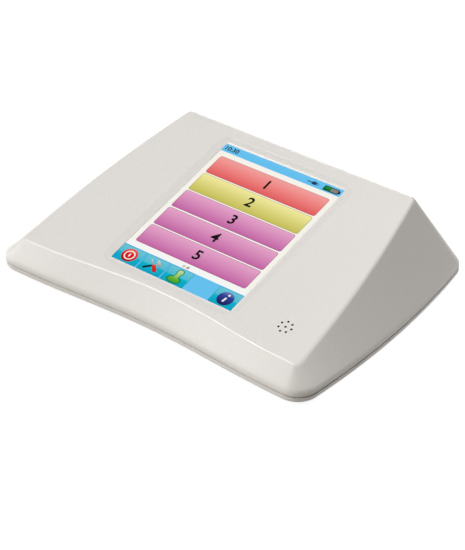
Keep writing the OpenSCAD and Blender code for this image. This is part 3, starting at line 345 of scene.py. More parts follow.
def outline(o):
    """The closed outline, anticlockwise from the middle of the front. The front is a cosine
    wave, y = front + dip (1 + cos pi t) / 2, and the rest is arcs, a parabola and a line."""
    front, back = corner(o, o.front_r, 1), corner(o, o.back_r, -1)
    t = steps(FRONT_POINTS)
    run = np.stack([front[0] * t, o.front + o.dip * (1 + np.cos(np.pi * t)) / 2], -1)
    bend = arc(front, -np.pi / 2 + (front[3] + np.pi / 2) * steps(CORNER_POINTS))
    low = front[1] + front[2] * math.sin(front[3])
    high = back[1] + back[2] * math.sin(back[3])
    y = low + (high - low) * steps(SIDE_POINTS)
    side = np.stack([side_x(o, y), y], -1)
    tail = arc(back, back[3] + (np.pi / 2 - back[3]) * steps(TAIL_POINTS))
    t = steps(BACK_POINTS)
    rear = np.stack([back[0] * (1 - t), np.full_like(t, o.back)], -1)
    half = np.concatenate([run, bend, side, tail, rear, [[0.0, o.back]]])
    other_half = half[1:-1][::-1] * [-1, 1]
    return np.concatenate([half, other_half])


def along(front, side, back):
    """A size that is front along the front, side along the sides and back along the back."""
    half = np.concatenate([
        np.full(FRONT_POINTS, front), front + (side - front) * steps(CORNER_POINTS),
        np.full(SIDE_POINTS, side), side + (back - side) * steps(TAIL_POINTS),
        np.full(BACK_POINTS + 1, back)])
    return np.concatenate([half, half[1:-1][::-1]])


def inset(o, t):
    """The outline's numbers after moving it inwards by t. A corner keeps a radius of 1 mm."""
    return Outline(o.front + t, o.dip, o.back - t, o.half_front - t, o.half_middle - t,
                   o.half_back - t, max(o.front_r - t, 1.0), max(o.back_r - t, 1.0))


ring_size = len(outline(RIM))
print("points round the housing:", ring_size)

# %% [markdown]
# ## The sloping face
# The top face rises 13.5 degrees towards the back. Points on it are given as u to the
# right, v up the slope and w out of the face, all from the middle of the screen.
# %% Coordinates on the sloping face
SLOPE = math.radians(13.5)
FACE_Y, FACE_Z = -3.8, 37.7


def on_face(uv, w):
    """Place of a point (u, v) that lies w above the sloping face, in millimetres."""
    uv = np.asarray(uv, float)
    w = np.broadcast_to(w, uv.shape[:-1])
    return np.stack([uv[..., 0],
                     FACE_Y + uv[..., 1] * math.cos(SLOPE) - w * math.sin(SLOPE),
                     FACE_Z + uv[..., 1] * math.sin(SLOPE) + w * math.cos(SLOPE)], -1)


def level(points, z):
    """Points of a flat outline at height z."""
    return np.concatenate([points, np.full(points.shape[:-1] + (1,), z)], -1)


def toward(a, b, distance):
    """The point at this distance from a on the way to b."""
    way = b - a
    length = np.linalg.norm(way, axis=-1, keepdims=True)
    return a + way * np.reshape(distance, (-1, 1)) / length


def blend(a, b, c, count):
    """Rings along the quadratic Bezier curve from a to c that b pulls on."""
    t = np.linspace(0, 1, count)[:, None, None]
    return (1 - t) ** 2 * a + 2 * t * (1 - t) * b + t * t * c


def between(a, b, shares):
    """Rings at these shares of the straight way from a to b."""
    t = np.asarray(shares, float)[:, None, None]
    return a + (b - a) * t


def rectangle(width, length, radius):
    """A round-cornered rectangle, with as many points in each stretch as the housing's
    outline."""
    w, l = width / 2, length / 2
    return outline(Outline(-l, 0.0, l, w, w, w, radius, radius))


# %% [markdown]
# ## The top cover
# The top cover is one moulding: a skirt that stands on the parting line, leaning walls, the
# sloping face, a dished frame round the screen and, inside, a wall of even thickness. A
# profile that runs up the outside, over the face, down to the window and back along the
# inside is carried round the outline, so the whole shell is one closed surface.
# The crease is crisp along the front, softer along the sides and widest at the back, and the
# shoulder above the skirt is widest in front, because the mould's faces meet there with
# different radii. Each curve between two faces gets many rings, and a ring close to each of
# its ends keeps the flat faces flat when they are shaded smooth.
# %% Dished frame round the screen
SCREEN_W, SCREEN_L, SCREEN_CORNER = 91.2, 115.2, 0.5
FRAME_WIDTH, FRAME_CORNER = 6.6, 11.0
FRAME_ROLL, FRAME_DROP, EDGE_DROP, EDGE_WIDTH = 2.2, 0.34, 0.5, 2.6


def ease(x):
    """Smooth step: 3x^2 - 2x^3 between 0 and 1."""
    x = np.clip(x, 0, 1)
    return x * x * (3 - 2 * x)


def frame_depth(d):
    """Height of the dished frame d millimetres from the lit edge: a soft roll down from the
    face, a shallow floor, and a faster roll down to the glass."""
    return (-FRAME_DROP * ease((FRAME_WIDTH - d) / FRAME_ROLL)
            - EDGE_DROP * (1 - np.minimum(d, EDGE_WIDTH) / EDGE_WIDTH) ** 2.2)


def frame_ring(d, w):
    """Ring of the dished frame d millimetres outside the lit edge."""
    r = SCREEN_CORNER + (FRAME_CORNER - SCREEN_CORNER) * d / FRAME_WIDTH
    return on_face(rectangle(SCREEN_W + 2 * d, SCREEN_L + 2 * d, r), w)


roll = np.concatenate([np.linspace(FRAME_WIDTH, FRAME_WIDTH - FRAME_ROLL, 11),
                       np.linspace(EDGE_WIDTH + 0.1, 0.0, 14)])
dish = np.stack([frame_ring(d, frame_depth(d)) for d in roll])
print("dished frame:", len(dish), "rings, lowest", round(float(frame_depth(roll).min()), 2), "mm")

# %% Profile of the top cover
WALL = 2.5
PARTING_Z, RIM_Z = 7.2, 10.2
PARTING_FILLET = 0.2
PARTING_DROP = np.outer(along(0.32, 0.2, 0.2), [0, 0, 1])
RIM_BLEND, CREASE_BLEND = along(4.5, 1.8, 1.8), along(1.6, 2.0, 3.8)
GLASS_W, POCKET_W, POCKET_L, POCKET_R = -1.3, 99.6, 123.6, 1.5
NEAR = 0.01  # room between the pocket and the glass, so that no two faces share a plane

rim_foot = level(outline(RIM), RIM_Z)
crease = on_face(outline(DECK), 0.0)
face_edge = on_face(outline(inset(DECK, 4.0)), 0.0)
turn = np.linspace(0, math.pi / 2, 6)
skirt = [level(outline(inset(RIM, PARTING_FILLET * (1 - math.sin(a)))),
               PARTING_Z + PARTING_FILLET * (1 - math.cos(a))) - PARTING_DROP for a in turn]
shoulder_foot = rim_foot - np.outer(RIM_BLEND / 2, [0, 0, 1])
shoulder = blend(shoulder_foot, rim_foot, toward(rim_foot, crease, RIM_BLEND), 8)
fold = blend(toward(crease, rim_foot, CREASE_BLEND), crease,
             toward(crease, face_edge, CREASE_BLEND), 14)
wall_rings = between(shoulder[-1], fold[0], [0.03, 0.35, 0.65, 0.97])
face_rings = between(fold[-1], dish[0], [0.01, 0.5, 0.99])
inner_crease = on_face(outline(inset(DECK, 0.6 * WALL)), -WALL)
inner_wall = outline(inset(RIM, WALL))
top_rings = np.concatenate([
    [level(inner_wall, PARTING_Z) - PARTING_DROP], skirt,
    [level(outline(RIM), PARTING_Z + 0.6), shoulder_foot - [0, 0, 0.2]],
    shoulder, wall_rings, fold, face_rings, dish,
    [frame_ring(0.0, GLASS_W + NEAR),
     on_face(rectangle(POCKET_W, POCKET_L, POCKET_R), GLASS_W + NEAR),
     on_face(rectangle(POCKET_W, POCKET_L, POCKET_R), -WALL),
     inner_crease, level(inner_wall, RIM_Z - 0.32 * WALL)]])
print("top cover:", top_rings.shape[0], "rings of", top_rings.shape[1], "points")

# %% [markdown]
# ## Posts, ears and holes in the top cover
# Under the face stand the posts that the case screws bite into, four ears for the display's
# bracket and the ring that centres the loudspeaker. They are added to the shell with a
# boolean union, and the screws' pilot holes, the sound holes and the opening of the
# connector bay are cut with a boolean difference.
# A drill leaves a fine rounded edge at each sound hole, so the tool that cuts one widens
# towards the face. The tool of the bay follows the leaning back wall, and widens there too.
# %% Solids that are added or cut away
both = (-1, 1)


def rod(x, y, z0, z1, diameter, sides=40):
    """Upright cylinder as two rings of x + r cos a, y + r sin a."""
    a = np.linspace(0, 2 * math.pi, sides, endpoint=False)
    ring = np.stack([x + diameter / 2 * np.cos(a), y + diameter / 2 * np.sin(a)], -1)
    return loft("rod", np.stack([level(ring, z0), level(ring, z1)]) * MM)


def rods(places, z0, z1, diameter, sides=40):
    """The same upright cylinder at each place (x, y)."""
    return [rod(x, y, z0, z1, diameter, sides) for x, y in places]


def rod_on_face(u, v, profile, sides=40):
    """Body of revolution square to the face: profile lists (radius, w), lowest first."""
    a = np.linspace(0, 2 * math.pi, sides, endpoint=False)
    circle = np.stack([np.cos(a), np.sin(a)], -1)
    return loft("rod", np.stack([on_face([u, v] + r * circle, w) for r, w in profile]) * MM)


def small_rectangle(width, length, radius, corner_points=8):
    """A round-cornered rectangle with few points, anticlockwise."""
    a = np.linspace(0, math.pi / 2, corner_points)
    ring = []
    for k, (sx, sy) in enumerate([(1, 1), (-1, 1), (-1, -1), (1, -1)]):
        mid = np.array([sx * (width / 2 - radius), sy * (length / 2 - radius)])
        angle = a + k * math.pi / 2
        ring.append(mid + radius * np.stack([np.cos(angle), np.sin(angle)], -1))
    return np.concatenate(ring)


def bar(x, y, z0, z1, width, length, radius):
    """Upright round-cornered block as two rings."""
    ring = small_rectangle(width, length, radius) + [x, y]
    return loft("bar", np.stack([level(ring, z0), level(ring, z1)]) * MM)


def mirrored(places):
    """Each place (x, y) on the left and on the right."""
    return [(s * x, y) for x, y in places for s in both]


# %% Posts and ears under the face
COLUMNS = mirrored([(98.3, -60.0), (90.95, -6.0), (79.0, 58.0)])
COLUMN_FOOT, COLUMN_D, CASE_SCREW_D, SMALL_SCREW_D = 12.2, 8.0, 3.0, 2.2
EARS, EAR_D, BRACKET_W = [(s * 57.0, t * 50.0) for s in both for t in both], 6.0, -9.6
SPEAKER, SPEAKER_D, SPEAKER_PLAY, RING_WALL, RING_DEEP = (81.3, -52.3), 20.0, 0.4, 1.5, 2.5
PILOT_Z, PILOT_TOP, EAR_PILOT_DEEP = 10.0, 20.0, 4.5

posts = [rod(x, y, COLUMN_FOOT, FACE_Z + (y - FACE_Y) * math.tan(SLOPE) - WALL / 2, COLUMN_D)
         for x, y in COLUMNS]
posts += [rod_on_face(u, v, [(EAR_D / 2, BRACKET_W), (EAR_D / 2, -WALL / 2)]) for u, v in EARS]
ring_r, seat_r = SPEAKER_D / 2 + RING_WALL, (SPEAKER_D + SPEAKER_PLAY) / 2
posts.append(rod_on_face(*SPEAKER, [(ring_r, -WALL - RING_DEEP), (ring_r, -WALL / 2)], 72))
cuts = [rod_on_face(*SPEAKER, [(seat_r, -WALL - RING_DEEP - 1.5), (seat_r, -WALL)], 72)]
pilots = rods(COLUMNS, PILOT_Z, PILOT_TOP, CASE_SCREW_D, 24)
pilots += [rod_on_face(u, v, [(SMALL_SCREW_D / 2, BRACKET_W - 1),
                              (SMALL_SCREW_D / 2, BRACKET_W + EAR_PILOT_DEEP)], 24)
           for u, v in EARS]
cuts += pilots
print("posts and ears:", len(posts), "pilot holes:", len(pilots))

# %% Sound holes
SOUND_HOLE_D, SOUND_RING_R, SOUND_HOLES = 1.4, 4.1, 7
hole_r = SOUND_HOLE_D / 2
flare = [(hole_r, -WALL - 2.0), (hole_r, -0.12), (hole_r + 0.02, -0.05), (hole_r + 0.05, -0.015),
         (hole_r + 0.07, 0.0), (hole_r + 0.07, 1.0)]
hole_places = [SPEAKER] + [(SPEAKER[0] + SOUND_RING_R * math.cos(a),
                            SPEAKER[1] + SOUND_RING_R * math.sin(a))
                           for a in np.arange(SOUND_HOLES) * 2 * math.pi / SOUND_HOLES]
sound_tools = [rod_on_face(u, v, flare, 28) for u, v in hole_places]
print("sound holes:", len(sound_tools))

# %% Opening of the connector bay
BAY_W, BAY_H, BAY_MID_Z, BAY_R, PANEL_Y = 140.0, 26.0, 27.0, 3.0, 66.0
BACK_RUN, CREASE_BACK_Z = 18.75, 54.76
BAY_EDGE, EDGE_DEEP, TOOL_OUT = 0.6, 3.0, 6.0


def back_wall_y(z):
    """Depth of the leaning back wall's outer face at height z."""
    return RIM.back - BACK_RUN * (z - RIM_Z) / (CREASE_BACK_Z - RIM_Z)


def bay_ring(grow, out):
    """The bay's outline, grown by grow, on the back wall's plane moved out by out."""
    ring = small_rectangle(BAY_W + 2 * grow, BAY_H + 2 * grow, BAY_R + grow, 12)
    x, z = ring[:, 0], ring[:, 1] + BAY_MID_Z
    return np.stack([x, back_wall_y(z) + out, z], -1)[::-1]


start = bay_ring(0.0, 0.0)
start[:, 1] = PANEL_Y - 4
bay_tool = [start, bay_ring(0.0, -EDGE_DEEP)]
bay_tool += [bay_ring(BAY_EDGE * (1 - math.cos(a)), -BAY_EDGE * (1 - math.sin(a)))
             for a in np.linspace(0, math.pi / 2, 6)]
bay_tool.append(bay_ring(BAY_EDGE, TOOL_OUT))
cuts.append(loft("bay", np.array(bay_tool) * MM))
print("the back wall leans in by", round(RIM.back - back_wall_y(CREASE_BACK_Z), 2), "mm")

# %% Top cover
def painted_frame_shade(mesh):
    """Writes the share of painted shade on the dished frame's floor into the attribute of that
    name. It goes by the depth below the face: up to 1 in the first 0.15 mm, back to 0 on the way
    to the glass."""
    x, y, z = points_of(mesh).T / MM
    v = (y - FACE_Y) * math.cos(SLOPE) + (z - FACE_Z) * math.sin(SLOPE)
    depth = (y - FACE_Y) * math.sin(SLOPE) - (z - FACE_Z) * math.cos(SLOPE)
    inside = ((np.abs(x) < SCREEN_W / 2 + FRAME_WIDTH + NEAR)
              & (np.abs(v) < SCREEN_L / 2 + FRAME_WIDTH + NEAR))
    share = inside * ease(depth / 0.15) * (1 - ease((depth - FRAME_DROP) / 0.3))
    mesh.attributes.new("painted_frame_shade", "FLOAT", "POINT").data.foreach_set("value", share)
    return share


top_mesh = loft("top", top_rings * MM, closed_row=True)
top_mesh = carved(top_mesh, joined("posts", posts), "UNION")
top_mesh = carved(top_mesh, joined("cuts", cuts), "DIFFERENCE")
top_mesh = carved(top_mesh, joined("sound_holes", sound_tools), "DIFFERENCE")
print("vertices in the dished frame:", int((painted_frame_shade(top_mesh) > 0).sum()))
top_shell = make_piece("top_shell", top_mesh, shell_abs)
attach(top_shell, "housing")
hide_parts("top_cover")
print("top shell:", len(top_mesh.polygons), "faces")

# %% [markdown]
# ## The dust cloth
# Behind the sound holes lies a fine black polyester cloth that keeps dust out of the
# loudspeaker. Its pips stand up in the holes nearly to the face, so that each hole looks black
# right up to the face: they are painted shade, near-black plugs where the holes hold only shade,
# on a cloth that is black in itself. The disc of cloth and its eight pips are one closed body.
# %% Dust cloth
THREAD_MM = 0.3


def woven_cloth(name, dark, light, pitch_mm):
    """Plain weave, matt and nearly black to the eye: two sets of threads as crossed waves,
    pitch_mm apart."""
    material, tree, shader = new_finish(name, Roughness=0.9, Specular_IOR_Level=0.05)
    place = place_on(tree)
    waves = [add(tree, "TexWave", {"Vector": place, "Scale": per_mm(pitch_mm) * math.pi / 10},
                 bands_direction=axis) for axis in ("X", "Y")]
    cross = add(tree, "Math", {0: waves[0].outputs["Fac"], 1: waves[1].outputs["Fac"]},
                operation="MULTIPLY")
    tint = add(tree, "Mix", {"Factor": cross.outputs["Value"], "A": linear(dark),
                             "B": linear(light)}, data_type="RGBA")
    bump = add(tree, "Bump", {"Height": cross.outputs["Value"], "Strength": 0.5,
                              "Distance": 0.05 * MM})
    tree.links.new(tint.outputs["Result"], shader.inputs["Base Color"])
    tree.links.new(bump.outputs["Normal"], shader.inputs["Normal"])
    return material


# the cloth is black in itself, and its near-black in the holes also stands in for their shade
dust_cloth = woven_cloth("woven_dust_cloth", "#030304", "#0E0E0F", THREAD_MM)
CLOTH_D, CLOTH_T, PIP_TOP = 20.0, 0.4, -0.03
cloth_mesh = rod_on_face(*SPEAKER, [(CLOTH_D / 2, -WALL - CLOTH_T), (CLOTH_D / 2, -WALL)], 72)
# painted shade: near-black pips that fill the sound holes nearly up to the face
pip_r = hole_r + 0.01
shade_plugs = [rod_on_face(u, v, [(pip_r, -WALL - 0.1), (pip_r, PIP_TOP - 0.05),
                           (pip_r * 0.85, PIP_TOP - 0.01), (pip_r * 0.3, PIP_TOP)], 24)
        for u, v in hole_places]
cloth_mesh = carved(cloth_mesh, joined("shade_plugs", shade_plugs), "UNION")
cloth_piece = make_piece("dust_cloth_with_shade_plugs", cloth_mesh, dust_cloth)
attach(cloth_piece, "housing")
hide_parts("speaker_cloth")
print("dust cloth:", len(cloth_mesh.polygons), "faces")

# %% [markdown]
# ## The bottom cover
# The bottom cover is a shallow tray. Outside only its band shows, with a rounded lower edge
# in shade and a dark gap under the top cover, which is 0.3 mm high in front and 1 mm at the
# sides and the back. Behind the gap runs a groove 1 mm deep, so that no light reaches in. The
# tray is lofted in the same way, from the middle of the underside out and up, over the tongue
# that stands inside the top cover, and down to the tray's floor. Screw wells, sockets for the
# feet and the step for the battery door are cut into it afterwards.
# %% Profile of the bottom cover
LIP_Z, BAND_TOP, FLOOR_Z, TONGUE_TOP = 3.0, 6.6, 5.4, 9.0
BAND_DROP = np.outer(along(0.0, 0.55, 0.55), [0, 0, 1])
EDGE_IN, EDGE_UP, BAND_FILLET, BAND_IN = 1.4, 1.3, 0.15, 0.3
TONGUE_IN, TONGUE_T, GROOVE_IN, GROOVE_Z = 2.7, 1.6, 0.8, 5.6
turn = np.linspace(0, math.pi / 2, 9)
lower_edge = [level(outline(inset(RIM, EDGE_IN * (1 - math.sin(a)))),
                    LIP_Z + EDGE_UP * (1 - math.cos(a))) for a in turn]
upper_edge = [level(outline(inset(RIM, BAND_FILLET * (1 - math.cos(a)))),
                    BAND_TOP - BAND_FILLET * (1 - math.sin(a))) - BAND_DROP
              for a in np.linspace(0, math.pi / 2, 5)]
tongue = outline(inset(RIM, TONGUE_IN))
tray = outline(inset(RIM, TONGUE_IN + TONGUE_T))
underside = level(outline(inset(RIM, EDGE_IN)) * 0.5, LIP_Z)
tray_floor = level(tray * 0.5, FLOOR_Z)
bottom_rings = np.concatenate([
    [underside, level(outline(inset(RIM, EDGE_IN + 0.4)), LIP_Z)], lower_edge,
    [level(outline(RIM), LIP_Z + EDGE_UP + 0.3)], upper_edge,
    [level(outline(inset(RIM, BAND_IN)), BAND_TOP) - BAND_DROP,
     level(outline(inset(RIM, GROOVE_IN)), GROOVE_Z),
     level(tongue, GROOVE_Z), level(tongue, TONGUE_TOP), level(tray, TONGUE_TOP),
     level(tray, FLOOR_Z), tray_floor]])
print("bottom cover:", bottom_rings.shape[0], "rings of", bottom_rings.shape[1], "points")

# %% Posts, wells and bores of the bottom cover
PAIR_BAY = mirrored([(66.0, 68.0)])
BOARD_POSTS = [(x, y) for x in (-42.75, 50.0) for y in (-12.8, 54.0)]
FRAME_FEET = [(-79.75, -33.0), (-50.25, -33.0)]
FEET, FOOT_D, FOOT_SINK = mirrored([(104.0, -70.0), (98.0, 72.0)]), 14.0, 0.6
DOOR, DOOR_W, DOOR_L, DOOR_T, DOOR_SCREW_X = (78.0, 27.7), 50.0, 36.0, 1.4, 22.0
DOOR_SCREWS = [(DOOR[0] + s * DOOR_SCREW_X, DOOR[1]) for s in both]
POST_TOP, PAIR_TOP, BOARD_POST_TOP, BOARD_POST_D = 12.0, 7.5, 10.0, 7.0
WELL_TOP, PAIR_WELL_TOP, FRAME_WELL_TOP = 8.5, 5.5, 4.4
BORE_TOP, FRAME_BORE_TOP, DOOR_BORE_TOP = 15.0, 12.0, 13.0
SCREW_WELL_D, SMALL_WELL_D, SCREW_PLAY = 6.8, 5.2, 0.4
under, in_floor = LIP_Z - 1, FLOOR_Z - 1

posts = rods(COLUMNS, in_floor, POST_TOP, COLUMN_D + 1)
posts += rods(PAIR_BAY, in_floor, PAIR_TOP, COLUMN_D)
posts += rods(BOARD_POSTS, in_floor, BOARD_POST_TOP, BOARD_POST_D)
posts.append(bar(*DOOR, in_floor, FLOOR_Z + 0.6, DOOR_W + 3, DOOR_L + 3, 3.0))
wells = rods(COLUMNS, under, WELL_TOP, SCREW_WELL_D)
wells += rods(PAIR_BAY, under, PAIR_WELL_TOP, SCREW_WELL_D)
wells += rods(FEET, under, LIP_Z + FOOT_SINK, FOOT_D + SCREW_PLAY, 64)
wells += rods(FRAME_FEET, under, FRAME_WELL_TOP, SMALL_WELL_D)
wells += rods(BOARD_POSTS, FLOOR_Z, BORE_TOP, SMALL_SCREW_D, 24)
wells.append(bar(*DOOR, under, LIP_Z + DOOR_T, DOOR_W, DOOR_L, 2.0))
bores = rods(COLUMNS + PAIR_BAY, under, BORE_TOP, CASE_SCREW_D + SCREW_PLAY, 24)
bores += rods(FRAME_FEET, under, FRAME_BORE_TOP, SMALL_SCREW_D + SCREW_PLAY, 24)
bores += rods(DOOR_SCREWS, LIP_Z, DOOR_BORE_TOP, SMALL_SCREW_D, 24)
bores.append(bar(*DOOR, under, FRAME_BORE_TOP, DOOR_W - 12, DOOR_L - 6, 2.0))
print("posts:", len(posts), "wells:", len(wells), "bores:", len(bores))

# %% Bottom cover
bottom_mesh = loft("bottom", bottom_rings * MM)
bottom_mesh = carved(bottom_mesh, joined("posts", posts), "UNION")
bottom_mesh = carved(bottom_mesh, joined("wells", wells), "DIFFERENCE")
bottom_mesh = carved(bottom_mesh, joined("bores", bores), "DIFFERENCE")
bottom_shell = make_piece("bottom_shell", bottom_mesh, shell_abs)
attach(bottom_shell, "housing")
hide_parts("bottom_cover")
print("bottom shell:", len(bottom_mesh.polygons), "faces")

# %% [markdown]
# ## The lit screen
# The screen is a colour display behind a thin touch glass. What it shows is light, so its
# colours glow and hardly change with the room's light, while the glass adds a faint gloss.
# Every patch of the picture is a thin closed plate on the glass, and carries its colour as
# an attribute on its points, so one material serves them all and the colour can run from
# light to dark down a button.
# %% Finish of the lit screen
DOT_MM = 0.3


def screen_finish(name, glow):
    """Dark glass under a clear coat that glows in the colour that the points carry."""
    material, tree, shader = new_finish(name, IOR=1.5, Roughness=0.1, Specular_IOR_Level=0.2,
                                        Emission_Strength=glow)
    shader.inputs["Base Color"].default_value = linear("#050505")
    colour = add(tree, "Attribute", attribute_name="glow", attribute_type="GEOMETRY")
    dots = add(tree, "TexNoise", {"Vector": place_on(tree), "Scale": per_mm(DOT_MM),
                                  "Detail": 1.0})
    ripple = add(tree, "MapRange", {"Value": dots.outputs["Fac"], "To Min": 0.985, "To Max": 1.0})
    shown = add(tree, "Mix", {"Factor": ripple.outputs["Result"], "A": linear("#000000"),
                              "B": colour.outputs["Color"]}, data_type="RGBA")
    tree.links.new(shown.outputs["Result"], shader.inputs["Emission Color"])
    return material


lit_glass = screen_finish("lit_display_glass", 0.975)

# %% Plates of the picture
def shade_down(v, stops):
    """Colour at height v from stops (v, hex), highest last, blended straight between them."""
    heights = [stop[0] for stop in stops]
    colours = np.array([linear(stop[1]) for stop in stops])
    return np.stack([np.interp(v, heights, colours[:, k]) for k in range(4)], -1)


def plate(u, v, layer, stops):
    """Closed plate over a grid of (u, v) between the layer's two heights, as points, faces and
    the points' colours."""
    uv = np.stack([u, v], -1)
    rows, columns = u.shape
    low, top = (on_face(uv, w) for w in layer)
    index = np.arange(rows * columns).reshape(rows, columns)
    quads = np.stack([index[:-1, :-1], index[:-1, 1:], index[1:, 1:], index[1:, :-1]], -1)
    quads = quads.reshape(-1, 4)
    edge = np.concatenate([index[0, :-1], index[:-1, -1], index[-1, :0:-1], index[:0:-1, 0]])
    after = np.roll(edge, -1)
    count = rows * columns
    sides = np.stack([edge, edge + count, after + count, after], -1)
    faces = np.concatenate([quads, quads[:, ::-1] + count, sides])
    points = np.concatenate([top.reshape(-1, 3), low.reshape(-1, 3)]) * MM
    colours = np.tile(shade_down(v, stops).reshape(-1, 4), (2, 1))
    return points, faces, colours


def rounded_plate(u0, u1, v0, v1, radius, layer, stops, rows=28):
    """Round-cornered plate: a row that reaches d into the corners has the half width
    W - r + sqrt(r^2 - d^2)."""
    fall = (1 - np.cos(np.linspace(0, math.pi, rows))) / 2
    v = v0 + (v1 - v0) * fall
    into = np.maximum(np.abs(v - (v0 + v1) / 2) - ((v1 - v0) / 2 - radius), 0)
    half = (u1 - u0) / 2 - radius + np.sqrt(np.maximum(radius ** 2 - into ** 2, 0))
    s = np.linspace(-1, 1, 9)
    u = (u0 + u1) / 2 + half[:, None] * s[None, :]
    return plate(u, np.broadcast_to(v[:, None], u.shape), layer, stops)


def disc(u, v, radius_u, radius_v, layer, stops, rows=20):
    """Oval plate as rows of chords: the row at v + r sin t has the half width r cos t."""
    t = np.linspace(-math.pi / 2 + 0.02, math.pi / 2 - 0.02, rows)
    s = np.sin(np.linspace(-1, 1, 9) * math.pi / 2)
    grid_v = v + radius_v * np.sin(t)[:, None] + 0 * s[None, :]
    grid_u = u + radius_u * np.cos(t)[:, None] * s[None, :]
    return plate(grid_u, grid_v, layer, stops)


def stroke(start, end, width, layer, stops, taper=1.0):
    """Round-ended bar from start to end, whose width changes by taper on the way."""
    start, end = np.array(start, float), np.array(end, float)
    length = np.linalg.norm(end - start)
    way = (end - start) / length
    across = np.array([-way[1], way[0]])
    t = (1 - np.cos(np.linspace(0, math.pi, 16))) / 2
    wide = width / 2 * (1 + (taper - 1) * t)
    into = np.maximum(np.abs(t - 0.5) * length - (length / 2 - wide), 0)
    half = np.sqrt(np.maximum(wide ** 2 - into ** 2, 1e-4))
    points = (start + t[:, None, None] * length * way
              + half[:, None, None] * np.array([1.0, 0.0, -1.0])[None, :, None] * across)
    return plate(points[..., 0], points[..., 1], layer, stops)


def picture_piece(name, parts):
    """One piece from several plates or numbers, with their colours on its points."""
    points, faces, colours, start = [], [], [], 0
    for part_points, part_faces, part_colours in parts:
        points.append(part_points)
        colours.append(part_colours)
        faces += [(np.asarray(face) + start).tolist() for face in part_faces]
        start += len(part_points)
    mesh = make_mesh(name, np.concatenate(points), faces)
    glow = mesh.attributes.new("glow", "FLOAT_COLOR", "POINT")
    glow.data.foreach_set("color", np.concatenate(colours).astype(np.float32).ravel())
    piece = make_piece(name, mesh, lit_glass)
    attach(piece, "housing")
    print(name + ":", len(faces), "faces")
    return piece


# %% [markdown]
# ## What the screen shows
# From the top: a blue bar with the time and the battery's charge, an ivory page with five
# large round-cornered buttons that run from light to dark and have a thin darker rim, two
# page marks, and a row of blue keys with simple symbols. The buttons carry plain numbers.
# Each layer is a few hundredths of a millimetre above the one below.
# %% Layers of the picture
GLASS_OVER, GLASS_T, GLASS_R, SINK = 4.0, 1.8, 1.2, 0.01
W1, W2, W3, W4, W5 = (GLASS_W + 0.02 * k for k in (1, 2, 3, 4, 5))
ON_PAGE, ON_RIM, ON_KEY = (W1 - SINK, W2), (W2 - SINK, W3), (W3 - SINK, W4)
ON_KEY_TALL, ON_SIGN = (W3 - SINK, W5), (W4 - SINK, W5)
UNDER_GLASS = GLASS_W - 0.2


def flat(code):
    """Stops of one colour all over."""
    return [(-60.0, code), (60.0, code)]


def area(u0, u1, v0, v1, stops, w1=W1, radius=0.05):
    """Rectangular field that starts inside the glass and ends at the height w1."""
    return rounded_plate(u0, u1, v0, v1, radius, (UNDER_GLASS, w1), stops, rows=16)


print("layers above the face in mm:", [round(w, 2) for w in (GLASS_W, W1, W2, W3, W4, W5)])

# %% Glass, page and bars
HALF_U, HALF_V = SCREEN_W / 2, SCREEN_L / 2
GLASS_U, GLASS_V = HALF_U + GLASS_OVER, HALF_V + GLASS_OVER
TOP_BAR_V, PAGE_V, STRIP_V = 51.2, -39.5, -43.6
page = picture_piece("screen_glass_and_page", [
    rounded_plate(-GLASS_U, GLASS_U, -GLASS_V, GLASS_V, GLASS_R, (GLASS_W - GLASS_T, GLASS_W),
                  flat("#101112"))])
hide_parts("touch_glass")
picture_piece("screen_page", [
    area(-HALF_U, HALF_U, TOP_BAR_V, HALF_V, [(TOP_BAR_V, "#63C0F1"), (HALF_V, "#69C4F3")]),
    area(-HALF_U, HALF_U, PAGE_V, TOP_BAR_V, flat("#F8F6ED")),
    area(-HALF_U, HALF_U, STRIP_V, PAGE_V, flat("#F8F8F7")),
    area(-HALF_U, HALF_U, -HALF_V, STRIP_V, flat("#65C2F0"))])

# %% Buttons
BUTTONS = [
    ("red", 30.2, 47.0, "#F4A29F", "#F08280", "#E15D5D", "#B95150"),
    ("yellow", 12.7, 29.3, "#F4EDA0", "#DDD67D", "#C7BF58", "#A29B4E"),
    ("pink_high", -4.3, 11.8, "#E6A5CA", "#D789BA", "#C365A5", "#9E5388"),
    ("pink_middle", -21.8, -5.4, "#E6A5CA", "#D789BA", "#C365A5", "#9E5388"),
    ("pink_low", -39.0, -22.7, "#E6A5CA", "#D789BA", "#C365A5", "#9E5388")]
BUTTON_HALF, BUTTON_CORNER, BUTTON_RIM = 42.0, 1.6, 0.32


def button(v0, v1, light, middle, dark, rim):
    """A darker plate, and on it a plate that runs from light at the top to dark below."""
    t = BUTTON_RIM
    stops = [(v0 + t, dark), ((v0 + v1) / 2, middle), (v1 - t, light)]
    return [rounded_plate(-BUTTON_HALF, BUTTON_HALF, v0, v1, BUTTON_CORNER, ON_PAGE, flat(rim)),
            rounded_plate(-BUTTON_HALF + t, BUTTON_HALF - t, v0 + t, v1 - t, BUTTON_CORNER - t,
                          (W1, W3), stops)]


for name, v0, v1, light, middle, dark, rim in BUTTONS:
    picture_piece("screen_button_" + name, button(v0, v1, light, middle, dark, rim))

